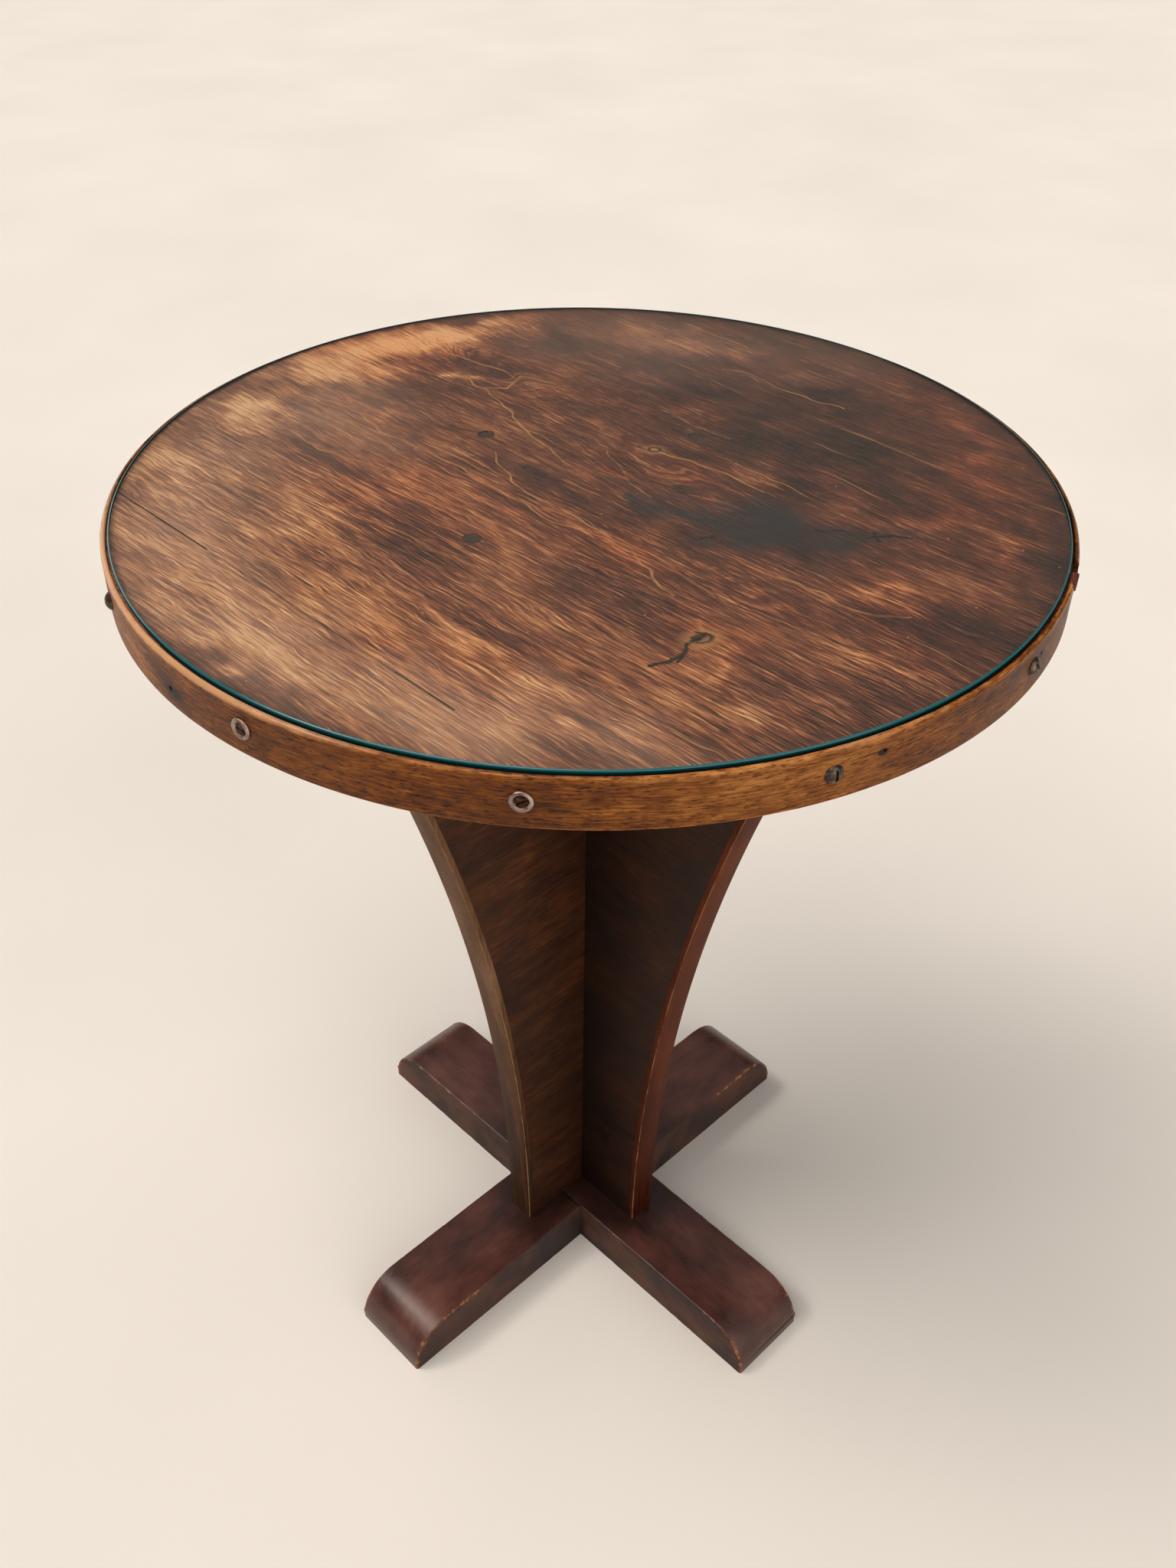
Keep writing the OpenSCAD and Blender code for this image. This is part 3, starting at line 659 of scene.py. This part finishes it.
def footWood(direction):
    # beech stained a dark red-brown and varnished; bare orange wood shows at the knocked edges
    material, add, shader, place = startMaterial("stainedFootWood_%d" % direction)
    half, rounding = foot["width"] / 2, table["footTop"] - foot["lip"]
    turned = add("Mapping", {"Vector": place, "Rotation": (0, 0, math.radians(-direction))})
    cloud = streaks(add, turned, 48, 26, 4.0, 0.58)
    fibres = streaks(add, turned, 24, 1.1, 3.0, 0.6)
    knocks = streaks(add, place, 4.5, 4.5, 4.0, 0.7)
    slow = streaks(add, place, 34, 34, 2.0)
    folded = add("VectorMath", "ABSOLUTE", [turned])
    x, y, z = (add("SeparateXYZ", [folded], out=axis) for axis in "XYZ")
    # the sides are painted darker than the top, and the wood is painted darker toward the pedestal:
    # painted shade
    onSide = add("MapRange", [y, half - 1.2, half - 0.1, 0.0, 1.0])
    tone = layered(add, -0.08, [(cloud, 0.85), (fibres, 0.3), (onSide, -0.16)])
    pedestalShade = add("MapRange", eased, [x, half, 120.0, 0.2, 0.0])
    # the rail toward the front right runs through on top of the other one
    lapAxis = y if direction == wings["front_right"] else x
    lapLine = add("Math", "ABSOLUTE", [add("Math", "SUBTRACT", [lapAxis, half])])
    lapLine = add("MapRange", [lapLine, 0.5, 1.4, 1.0, 0.0])
    nearLap = add("MapRange", [x, half + 1.0, half + 3.0, 0.5, 0.0])
    lapLine = add("Math", "MULTIPLY", [lapLine, nearLap])
    dents = add("TexVoronoi", {"Vector": turned, "Scale": 1 / 8})
    dents = add("MapRange", [dents, 0.03, 0.09, 0.22, 0.0])
    for share in (pedestalShade, lapLine, dents):
        tone = add("Math", "SUBTRACT", [tone, share])
    colour = add("ValToRGB", {"stops": foot["tones"]}, [tone])
    # the sides are rubbed to a warmer brown in places
    scuffs = onSide
    for layer, limits in ((slow, (0.42, 0.62, 0.0, 0.55)), (fibres, (0.35, 0.65, 0.4, 1.0))):
        scuffs = add("Math", "MULTIPLY", [scuffs, add("MapRange", [layer, *limits])])
    colour = add("Mix", inColour, {0: scuffs, 6: colour, 7: foot["scuffed"]}, out=2)
    # distance from the arris between the top or the rounded tip and a side face
    tip = foot["span"] / 2 - rounding
    onward, upward = (add("Math", "MAXIMUM", [add("Math", "SUBTRACT", [axis, start]), 0.0])
                      for axis, start in ((x, tip), (z, foot["lip"])))
    inward = add("VectorMath", "LENGTH", [add("CombineXYZ", [onward, upward])], out="Value")
    inward = add("Math", "SUBTRACT", [rounding, inward])
    arris = add("Math", "ADD", [add("Math", "SUBTRACT", [half, y]), inward])
    # most of the wear is near the tips, and there is none at the lap joint
    reach = add("MapRange", [x, 110.0, 188.0, -5.1, -3.2])
    reach = add("Math", "ADD", [reach, add("MapRange", [x, half, 50.0, -6.0, 0.0])])
    reach = layered(add, reach, [(knocks, 5.0), (slow, 6.0)])
    bare = add("MapRange", [add("Math", "SUBTRACT", [reach, arris]), 0.0, 1.2, 0.0, 0.85])
    raw = add("ValToRGB", {"stops": foot["bareTones"]}, [knocks])
    colour = add("Mix", inColour, {0: bare, 6: colour, 7: raw}, out=2)
    roughness = add("MapRange", [cloud, 0.3, 0.7, 0.27, 0.36])
    roughness = add("Math", "MULTIPLY_ADD", [onSide, 0.3, roughness])
    height = add("Math", "MULTIPLY_ADD", [dents, -3.0, fibres])
    finishMaterial(add, shader, colour, roughness, height, 0.12, shine=0.45)
    return material


plugFinish = {"tones": [(0.3, "#2b1a13"), (0.7, "#533a2c")]}


def plugWood():
    # dark side-grain plugs, sunk or planed flush
    material, add, shader, place = startMaterial("darkPlugWood")
    fibres = streaks(add, place, 12, 1.0, 2.0)
    colour = add("ValToRGB", {"stops": plugFinish["tones"]}, [fibres])
    finishMaterial(add, shader, colour, (fibres, 0.5, 0.65), fibres, 0.05)
    return material


# tones, roughness where it is rubbed and where it is dull, size of the spots
metals = {
    "dullNickel": ([(0.3, "#6b5650"), (0.5, "#98837b"), (0.7, "#b9a9a1")], 0.3, 0.42, 7),
    "brownedSteel": ([(0.35, "#2a1712"), (0.6, "#5a3a2a"), (0.8, "#76543f")], 0.45, 0.6, 2.5),
    "wornSteel": ([(0.35, "#332a25"), (0.55, "#5d5149"), (0.75, "#958a80")], 0.3, 0.5, 3.0),
    "plainSteel": ([(0.35, "#5b544d"), (0.65, "#8d8781")], 0.35, 0.5, 2.0),
}


def oldMetal(name):
    # turned or pressed steel: tarnish and rust in spots, rubbed brighter between them
    stops, roughLow, roughHigh, size = metals[name]
    material, add, shader, place = startMaterial(name)
    spots = streaks(add, place, size, size, 4.0, 0.65)
    colour = add("ValToRGB", {"stops": stops}, [spots])
    shader.inputs["Metallic"].default_value = 1.0
    finishMaterial(add, shader, colour, (spots, roughHigh, roughLow), spots, 0.05)
    return material


glassFinish = {
    "body": "#f4faf8",
    "shadow": "#eef7f4",
    # the edge is painted darkest at its lower end, a painted shade, and lightest at its top, a painted
    # highlight
    "edgeLow": 608.5,
    "edgeHigh": 611.4,
    "edgeTones": [(0.0, "#02191c"), (0.35, "#032b2f"), (0.7, "#064146"), (1.0, "#0f6068")],
}


def clearGlass():
    # float glass: clear through its thickness; shadows let the light through to the wood
    material, add, shader = startMaterial("clearGlass")[:3]
    shader.inputs["Base Color"].default_value = toLinear(glassFinish["body"])
    shader.inputs["Roughness"].default_value = 0.0
    shader.inputs["IOR"].default_value = 1.5
    shader.inputs["Transmission Weight"].default_value = 1.0
    shadow = add("LightPath", out="Is Shadow Ray")
    clear = add("BsdfTransparent", {"Color": glassFinish["shadow"]})
    mixed = add("MixShader", [shadow, shader.outputs[0], clear])
    tree = material.node_tree
    tree.links.new(mixed, tree.nodes["Material Output"].inputs["Surface"])
    return material


def polishedGlassEdge():
    # the ground and polished edge of the glass, where the green of the iron in it adds up
    material, add, shader, place = startMaterial("polishedGlassEdge")
    cloud = streaks(add, place, 30, 30, 2.0)
    # painted shade toward the lower end of the edge, painted highlight toward the top
    level = add("SeparateXYZ", [place], out="Z")
    level = add("MapRange", [level, glassFinish["edgeLow"], glassFinish["edgeHigh"], 0.0, 1.0])
    colour = add("ValToRGB", {"stops": glassFinish["edgeTones"]}, [level])
    finishMaterial(add, shader, colour, (cloud, 0.06, 0.12), cloud, 0.02, shine=0.55)
    return material


topBoards = stainedTopBoards()
hoopWood = bentHoopWood()
redPatch = patchWood()
edging = lippingWood()
darkPlug = plugWood()
glassClear = clearGlass()
glassEdge = polishedGlassEdge()
nickel, brownSteel, wornSteel, plainSteel = (oldMetal(name) for name in metals)
veneers = {name: pedestalVeneer(wings[name], shade) for name, shade in boardFinish["shades"].items()}
railWood = {name: footWood(wings[name]) for name in ("front_left", "front_right")}
print("materials made")

# Holes for the screws, cut into each piece that they pass through

screws = {
    "rimFirst": 24,  # direction of the first fastening in degrees, and the step to the next
    "rimStep": 30,
    "rimCount": 12,
    "rimHeight": 597.5,
    "rimHoleRadius": 1.85,
    "rimHoleDepth": 13.0,
    "cups": [0, 1, 2, 3, 7, 8],
    "uprightSlot": 9,  # the place whose slot stands upright, and the turn from one slot to the next
    "slotTurn": 37,
    "shankRadius": 2.5,
    "headRadius": 4.8,
    "plugRadius": 5.0,
    # distance from the middle, then the heights of the tip, the neck and the head's seat
    "top": (84.0, 550.3, 598.2, 600.5),
    "base": (45.0, 66.1, 10.3, 8.0),
}


def outOfHoop(angle, height):  # turns what stands on Z so that it points out of the hoop
    lying = Matrix.Rotation(math.pi / 2, 4, "Y")
    return turnBy(angle) @ moveBy(table["topRadius"], 0, height) @ lying


def rimPlace(place):  # the same at one of the fastenings, counted from zero
    return outOfHoop(screws["rimFirst"] + screws["rimStep"] * place, screws["rimHeight"])


def makeRimDrill():
    depth = screws["rimHoleDepth"] + 10  # it also stands 10 mm out of the hoop
    bpy.ops.mesh.primitive_cylinder_add(vertices=32, radius=screws["rimHoleRadius"] * mm,
                                        depth=depth * mm, location=(0, 0, 0))
    drill = nameNew("rim_drill")
    drill.data.transform(moveBy(0, 0, 10 - depth / 2))
    drills = [copyOf(drill, rimPlace(place)) for place in range(screws["rimCount"])]
    bpy.data.objects.remove(drill)
    return joinAll(drills, "rim_drills")


def makeUprightDrill():
    above, below = 640, -20  # the drills go on past the top and past the floor
    shank, head, plug = screws["shankRadius"], screws["headRadius"], screws["plugRadius"]
    topAway, tip, neck, seat = screws["top"]
    top = lathe("top_drill", [(0, tip), (shank, tip), (shank, neck), (head, seat), (plug, seat),
                              (plug, above), (0, above)], 48)
    baseAway, tip, neck, seat = screws["base"]
    base = lathe("base_drill", [(0, tip), (shank, tip), (shank, neck), (head, seat), (head, below),
                                (0, below)], 48)
    drills = []
    for angle in wings.values():
        for drill, away in ((top, topAway), (base, baseAway)):
            drills.append(copyOf(drill, turnBy(angle) @ moveBy(away, 0, 0)))
    for drill in (top, base):
        bpy.data.objects.remove(drill)
    return joinAll(drills, "upright_drills")


rimDrill = makeRimDrill()
uprightDrill = makeUprightDrill()
print("drills made")

# Top boards

planks = {
    "radius": 251.1,
    "widths": {"front_left": (186.45, 251.1), "mid_left": (62.15, 186.45), "middle": (-62.15, 62.15),
               "mid_right": (-186.45, -62.15), "back_right": (-251.1, -186.45)},
    "gap": 0.04,
}


def makePlank(name, low, high):
    thick = table["plankTop"] - table["plankUnder"]
    deselectAll()
    bpy.ops.mesh.primitive_cylinder_add(vertices=360, radius=planks["radius"] * mm, depth=thick * mm,
                                        location=(0, 0, (table["plankTop"] - thick / 2) * mm))
    plank = nameNew("board_" + name)
    bpy.ops.object.transform_apply(location=True)
    bpy.ops.object.mode_set(mode="EDIT")
    across = turnBy(wings["front_left"]) @ Vector((1, 0, 0))
    for edge, way in ((low, -1), (high, 1)):
        if abs(edge) < planks["radius"]:
            bpy.ops.mesh.select_all(action="SELECT")
            bpy.ops.mesh.bisect(plane_co=across * (edge - way * planks["gap"] / 2) * mm,
                                plane_no=across * way, use_fill=True, clear_outer=True)
    bpy.ops.object.mode_set(mode="OBJECT")
    cutWith(plank, rimDrill)
    cutWith(plank, uprightDrill)
    finishPiece(plank, ["top_plank_" + name], [topBoards])


for name, (low, high) in planks["widths"].items():
    makePlank(name, low, high)
print("top boards made")

# Hoop

hoop = {
    "round": 2.1,
    "ease": 0.6,
    "gap": 0.3,
    "patchLength": 12.0,
    "patchHeight": 4.0,
    "patchProud": 0.9,
    "patchRound": 0.9,
    "patchEase": 0.5,
    # direction in degrees, depth below the rim, radius
    "nailHoles": [(-138, 17, 2.0), (-60.3, 8.3, 1.0), (-34.2, 9.3, 1.3)],
    # the outside is out of true: how much, over how many millimetres round and up
    "waves": [(0.16, 31, 14), (0.04, 6, 5)],
    "proudest": 0.05,
    "trueInside": 252.4,  # the waves grow from here to the outside, over this depth
    "waveDepth": 1.6,
    "topWave": (0.12, 23),
}


def makeHoop():
    inner, outer = table["hoopInside"], table["topRadius"]
    top, bottom = table["rimHeight"], table["rimHeight"] - table["hoopHigh"]
    big, small = hoop["round"], hoop["ease"]
    outline = [(inner, bottom)]
    outline += arc(outer - small, bottom + small, small, -90, 0, 3)
    outline += [(outer, bottom + 3 * i) for i in range(1, 9)]
    outline += arc(outer - big, top - big, big, 0, 90, 5)
    outline += arc(inner + small, top - small, small, 90, 180, 3)
    gap = math.degrees(hoop["gap"] / outer)
    strip = lathe("bent_hoop", outline, 360, 360 - gap)
    strip.data.transform(turnBy(table["hoopEnds"] + gap / 2))

    def uneven(index, point):  # a hand-planed strip isn't quite true
        push = sum(noise.noise(Vector((point.x / around, point.y / around, point.z / up))) * much
                   for much, around, up in hoop["waves"])
        flat = Vector((point.x, point.y, 0))
        share = max(0.0, (flat.length - hoop["trueInside"]) / hoop["waveDepth"])
        moved = point + flat.normalized() * min(push, hoop["proudest"]) * share
        if point.z > top - 2:
            much, around = hoop["topWave"]
            moved.z += noise.noise(Vector((point.x / around, point.y / around, 7))) * much
        return moved

    movePoints(strip, uneven)
    cutWith(strip, rimDrill)
    for angle, below, radius in hoop["nailHoles"]:
        deselectAll()
        bpy.ops.mesh.primitive_cone_add(vertices=20, radius1=radius * 0.5 * mm, radius2=radius * mm,
                                        depth=4 * mm, location=(0, 0, 0))
        awl = nameNew("awl")
        awl.data.transform(outOfHoop(angle, top - below))
        cutWith(strip, awl)
        bpy.data.objects.remove(awl)
    room = (10, hoop["patchLength"], 2 * hoop["patchHeight"])
    cutBox(strip, (inner + 1.4, 0, top), room, table["hoopEnds"])
    finishPiece(strip, ["rim_hoop"], [hoopWood])


def makePatch():
    inner, outer = table["hoopInside"] + 0.1, table["topRadius"] + hoop["patchProud"]
    low, high = table["rimHeight"] - hoop["patchHeight"] + 0.1, table["rimHeight"]
    big, small = hoop["patchRound"], hoop["patchEase"]
    outline = [(inner, low), (outer - 0.4, low)] + arc(outer - small, low + small, small, -60, 0, 3)
    outline += arc(outer - big, high - big, big, 0, 90, 4) + [(inner, high)]
    turn = math.degrees((hoop["patchLength"] - 0.2) / outer)
    patch = lathe("repair_piece", outline, 12, turn)
    patch.data.transform(turnBy(table["hoopEnds"] - turn / 2))
    easeEdges(patch, 0.35, 50)
    finishPiece(patch, ["rim_patch"], [redPatch])


makeHoop()
makePatch()
print("hoop made")

# Rim fastenings

cup = {"radius": 5.5, "wall": 0.4, "bead": 1.35, "seat": 1.85}
roundHead = {"radius": 4.8, "height": 3.0, "shank": 1.75, "length": 12.7, "slot": 1.3, "slotDepth": 1.5}


def repeatAt(first, places, name):
    copies = [copyOf(first, place) for place in places]
    bpy.data.objects.remove(first)
    return joinAll(copies, name)


def makeCups():
    # pressed cup: a bead that rolls over into a conical seat
    crest = cup["radius"] - cup["bead"]
    outline = [(cup["seat"], 0), (cup["radius"] - 0.2, 0)]
    outline += arc(crest, cup["wall"], cup["bead"], 0, 84, 8)
    outline += [(crest - 0.12, 1.68), (crest - 0.4, 1.35), (cup["seat"] + 0.3, 0.25)]
    places = [rimPlace(place) for place in screws["cups"]]
    cups = repeatAt(lathe("cup", outline, 48), places, "screw_cups")
    finishPiece(cups, ["rim_screw_cups"], [nickel], smooth=50)


def makeRoundHeads():
    r, h, shank, length = (roundHead[key] for key in ("radius", "height", "shank", "length"))
    ball = (r * r + h * h) / (2 * h)
    spread = math.degrees(math.asin((r - 0.15) / ball))
    outline = [(0, -length), (shank * 0.25, -length), (shank, 2 * shank - length), (shank, 0)]
    outline += [(r - 0.1, 0), (r, 0.15)] + arc(0, h - ball, ball, 90 - spread, 90, 10)
    outline[-1] = (0, h)
    first = lathe("round_head", outline, 48)
    cutBox(first, (0, 0, h), (20, roundHead["slot"], 2 * roundHead["slotDepth"]))
    easeEdges(first, 0.14, 40)
    places = [rimPlace(place) @ turnBy(screws["slotTurn"] * (place - screws["uprightSlot"]))
              for place in range(screws["rimCount"]) if place not in screws["cups"]]
    heads = repeatAt(first, places, "round_heads")
    finishPiece(heads, ["rim_round_head_screws"], [wornSteel], smooth=35)


makeCups()
makeRoundHeads()
print("rim fastenings made")

# Glass

glass = {"radius": 250.0, "under": 607.6, "over": 611.5, "round": 0.9}


def makeGlass():
    r, low, high, ease = glass["radius"], glass["under"], glass["over"], glass["round"]
    # two rings near the edge keep the flat faces flat where they are shaded smooth
    outline = [(0, low), (r - ease - 6, low), (r - ease - 0.6, low)]
    outline += arc(r - ease, low + ease, ease, -90, 0, 6)
    outline += arc(r - ease, high - ease, ease, 0, 90, 6)
    outline += [(r - ease - 0.6, high), (r - ease - 6, high), (0, high)]
    pane = lathe("glass_cover", outline, 360)
    finishPiece(pane, ["glass_top"], [glassClear, glassEdge], body="glass")
    for face in pane.data.polygons:
        middle = face.center / mm
        if math.hypot(middle.x, middle.y) > r - ease:
            face.material_index = 1


makeGlass()
print("glass made")

# Pedestal

pedestal = {
    "thick": 20.0,
    "halfWidth": 64.0,
    "sideRadius": 1370.0,
    "lipping": 4.0,
    "arris": 0.9,
    "slotGap": 0.1,
    "middle": 310.75,  # the height at which the two boards' slots meet
}


def sideAt(z):  # half width of a board at a height: a hollow curve
    r = pedestal["sideRadius"]
    return pedestal["halfWidth"] + r - math.sqrt(r * r - (z - table["footTop"]) ** 2)


def heights():
    low, middle, high = table["footTop"], pedestal["middle"], table["plankUnder"]
    return ([low + (middle - low) * i / 24 for i in range(24)]
            + [middle + (high - middle) * i / 24 for i in range(25)])


def makeSheet(name, levels, columns, sideways):  # flat in XZ; sideways(column, z) gives x
    deselectAll()
    bpy.ops.mesh.primitive_grid_add(x_subdivisions=columns - 1, y_subdivisions=len(levels) - 1, size=1)
    sheet = nameNew(name)

    def where(index, point):
        z = levels[index // columns]
        return sideways(index % columns, z), 0, z

    movePoints(sheet, where)
    bpy.ops.object.mode_set(mode="EDIT")
    return sheet


def extrudeSheet(thick):  # gives a sheet in XZ its thickness, half to each side
    bpy.ops.mesh.select_all(action="SELECT")
    bpy.ops.mesh.extrude_region_move(TRANSFORM_OT_translate={"value": (0, thick * mm, 0)})
    bpy.ops.mesh.select_all(action="SELECT")
    bpy.ops.transform.translate(value=(0, -thick / 2 * mm, 0))
    bpy.ops.mesh.normals_make_consistent(inside=False)


def makeBoard(name, slotAbove):
    slotHalf = pedestal["thick"] / 2 + pedestal["slotGap"]

    def sideways(column, z):
        edge = sideAt(z) - pedestal["lipping"] - 0.1
        return (-edge, -slotHalf, slotHalf, edge)[column]

    board = makeSheet("pedestal_" + name, heights(), 4, sideways)
    pickFaces(board, lambda p: abs(p.x) < 5 and (p.z > pedestal["middle"]) == slotAbove)
    bpy.ops.mesh.delete(type="FACE")
    extrudeSheet(pedestal["thick"])
    bpy.ops.object.mode_set(mode="OBJECT")
    board.data.transform(turnBy(wings[name]))
    cutWith(board, uprightDrill)
    finishPiece(board, ["pedestal_board_" + name], [veneers[name]])


def makeLipping(name):
    half = pedestal["thick"] / 2

    def onArris(p):
        return abs(abs(p.y) - half) < 0.01 and abs(p.x - sideAt(p.z)) < 0.01

    strip = makeSheet("lipping_" + name, heights(), 2,
                      lambda column, z: sideAt(z) - (0.0 if column else pedestal["lipping"]))
    extrudeSheet(pedestal["thick"])
    pickEdges(strip, lambda a, b: onArris(a) and onArris(b) and a.y * b.y > 0)
    bpy.ops.mesh.bevel(offset=pedestal["arris"] * mm, segments=3, affect="EDGES")
    bpy.ops.object.mode_set(mode="OBJECT")
    strip.data.transform(turnBy(wings[name]))
    finishPiece(strip, ["edge_lipping_" + name], [edging])


makeBoard("front_left", slotAbove=True)
makeBoard("front_right", slotAbove=False)
for name in wings:
    makeLipping(name)
print("pedestal made")

# Feet; their values stand above their wood

def makeRail(name, lapAbove):
    end, side, high = foot["span"] / 2, foot["width"] / 2, table["footTop"]
    rail = addBox("foot_" + name, (0, 0, high / 2), (foot["span"], foot["width"], high))
    bpy.ops.object.mode_set(mode="EDIT")
    pickEdges(rail, lambda a, b: abs(a.x - b.x) < 0.1 and min(a.z, b.z) > high - 0.1)
    bpy.ops.mesh.bevel(offset=(high - foot["lip"]) * mm, segments=16, affect="EDGES")
    pickEdges(rail, lambda a, b: abs(a.x - b.x) > 100)
    bpy.ops.mesh.subdivide(number_cuts=40)
    pickEdges(rail, lambda a, b: abs(a.y - b.y) < 0.1 and abs(abs(a.y) - side) < 0.1
              and (max(a.z, b.z) > 0.5 and (abs(a.x - b.x) > 0.5 or abs(a.x) > end - 0.1)))
    bpy.ops.mesh.bevel(offset=foot["ease"] * mm, segments=4, affect="EDGES")
    bpy.ops.object.mode_set(mode="OBJECT")
    lapHigh, lapWide = 40, foot["width"] + 2 * foot["lapGap"]
    lapMiddle = high / 2 + (lapHigh / 2 if lapAbove else -lapHigh / 2)
    cutBox(rail, (0, 0, lapMiddle), (lapWide, 80, lapHigh))
    turn = turnBy(wings[name])
    rail.data.transform(turn)
    cutWith(rail, uprightDrill)
    rail.data.transform(turn.inverted())

    def knocked(index, point):  # the arrises are dented by years of shoes and brooms
        nearArris = max(0.0, 1 - (side - abs(point.y)) / foot["dentReach"])
        spot = [value / foot["dentSize"] for value in point]
        spot[2] += wings[name]  # so that each rail has its own dents
        dent = noise.noise(Vector(spot)) * foot["dentDepth"] * nearArris
        inwards = Vector((0, -math.copysign(1, point.y), -1 if point.z > foot["lip"] else 0))
        return point + inwards * max(0.0, dent)

    movePoints(rail, knocked)
    rail.data.transform(turn)
    finishPiece(rail, ["foot_rail_" + name], [railWood[name]])


makeRail("front_left", lapAbove=True)
makeRail("front_right", lapAbove=False)
print("feet made")

for drill in (rimDrill, uprightDrill):  # every hole is made
    bpy.data.objects.remove(drill)

# Screws and plugs that keep their CAD solids get their materials

for node, material in (("rim_cup_screws", brownSteel), ("top_screws", plainSteel),
                       ("base_screws", plainSteel), ("top_screw_plugs", darkPlug)):
    bpy.data.objects[node].data.materials.clear()
    bpy.data.objects[node].data.materials.append(material)
print("screws and plugs coloured")

# Floor, light and camera

studio = {
    "world": 0.12,
    "horizon": 0.85,
    "backdrop": 0.85,
    "light": "#fff4e9",
    "floorSeen": [(0.3, "#e2dfda"), (0.7, "#e8e5e0")],
    # what the floor sends back to the table, so that the table's dark side stays dark
    "floorBounce": "#a39a8e",
    "floorSize": 80,  # in metres
    "ceiling": 0.5,  # one broad lamp straight above
    "ceilingBreadth": 100,  # in degrees
    # soft boxes, as glows in the world: where the light comes from, breadth in degrees, strength
    "glows": {
        "window": ((-0.38, -0.18, 0.906), 50, 1.75),
        "glint": ((-0.62, 0.02, 0.784), 16, 0.55),
        "room": ((0.55, -0.75, 0.35), 60, 1.15),
        "side": ((-0.75, 0.63, 0.2), 40, 0.5),
    },
}


def makeFloor():
    deselectAll()
    bpy.ops.mesh.primitive_plane_add(size=studio["floorSize"], location=(0, 0, 0))
    floor = nameNew("studio_floor")
    # plain pale paper, paler to look at than it is as a light on the table
    material, add, shader, place = startMaterial("paleFloor")
    cloud = streaks(add, place, 400, 400, 2.0)
    pale = add("ValToRGB", {"stops": studio["floorSeen"]}, [cloud])
    seen = [add("LightPath", out="Is %s Ray" % ray) for ray in ("Camera", "Glossy", "Transmission")]
    seen = add("Math", "MAXIMUM", [add("Math", "MAXIMUM", seen[:2]), seen[2]])
    colour = add("Mix", inColour, {0: seen, 6: studio["floorBounce"], 7: pale}, out=2)
    finishMaterial(add, shader, colour, (cloud, 0.85, 0.95), cloud, 0.1, 0.1)
    floor.data.materials.append(material)


def makeLight():
    world = bpy.data.worlds.new("studio")
    bpy.context.scene.world = world
    world.use_nodes = True
    tree = world.node_tree
    add = partial(addNode, tree)
    sky = tree.nodes["Background"]
    sky.inputs["Color"].default_value = toLinear(studio["light"])
    # paler just above the horizon, as a studio's backdrop is
    facing = add("TexCoord", out="Generated")
    height = add("SeparateXYZ", [facing], out="Z")
    light = add("MapRange", eased, [height, 0.0, 0.14, studio["horizon"], studio["world"]])
    for fromWhere, breadth, strength in studio["glows"].values():
        near = add("VectorMath", "DOT_PRODUCT", [facing, Vector(fromWhere).normalized()], out="Value")
        bright = strength / (math.pi * math.sin(math.radians(breadth / 2)) ** 2)
        rim, core = (math.cos(math.radians(breadth * share)) for share in (0.65, 0.35))
        glow = add("MapRange", eased, [near, rim, core, 0.0, bright])
        light = add("Math", "ADD", [light, glow])
    # the camera sees a plain pale backdrop
    seen = add("LightPath", out="Is Camera Ray")
    light = add("Mix", {"data_type": "FLOAT"}, {0: seen, 2: light, 3: studio["backdrop"]})
    tree.links.new(light, sky.inputs["Strength"])
    deselectAll()
    bpy.ops.object.light_add(type="SUN", location=(0, 0, 3))
    lamp = bpy.context.object.data
    lamp.name = "ceiling"
    lamp.angle = math.radians(studio["ceilingBreadth"])
    lamp.energy = studio["ceiling"]


# worked out from the photograph: it stands just in front of the table, looking down
view = {"place": (0, -0.7269, 0.984), "pitch": 38.497, "yaw": 0.063, "roll": 0.811, "lens": 34.467,
        "sensor": 36}


def makeCamera():
    pitch, yaw, roll = (math.radians(view[key]) for key in ("pitch", "yaw", "roll"))
    level = math.cos(pitch)
    forward = Vector((math.sin(yaw) * level, math.cos(yaw) * level, -math.sin(pitch)))
    right = Vector((math.cos(yaw), -math.sin(yaw), 0))
    up = right.cross(forward)
    side = math.cos(roll) * right + math.sin(roll) * up
    above = -math.sin(roll) * right + math.cos(roll) * up
    lens = bpy.data.cameras.new("camera")
    lens.sensor_width = view["sensor"]
    lens.sensor_fit = "AUTO"
    lens.lens = view["lens"]
    camera = bpy.data.objects.new("camera", lens)
    turn = Matrix((side, above, -forward)).transposed().to_4x4()
    camera.matrix_world = Matrix.Translation(view["place"]) @ turn
    bpy.context.collection.objects.link(camera)
    bpy.context.scene.camera = camera


makeFloor()
makeLight()
makeCamera()
bpy.context.scene.view_settings.view_transform = "Standard"
print("floor, light and camera made")
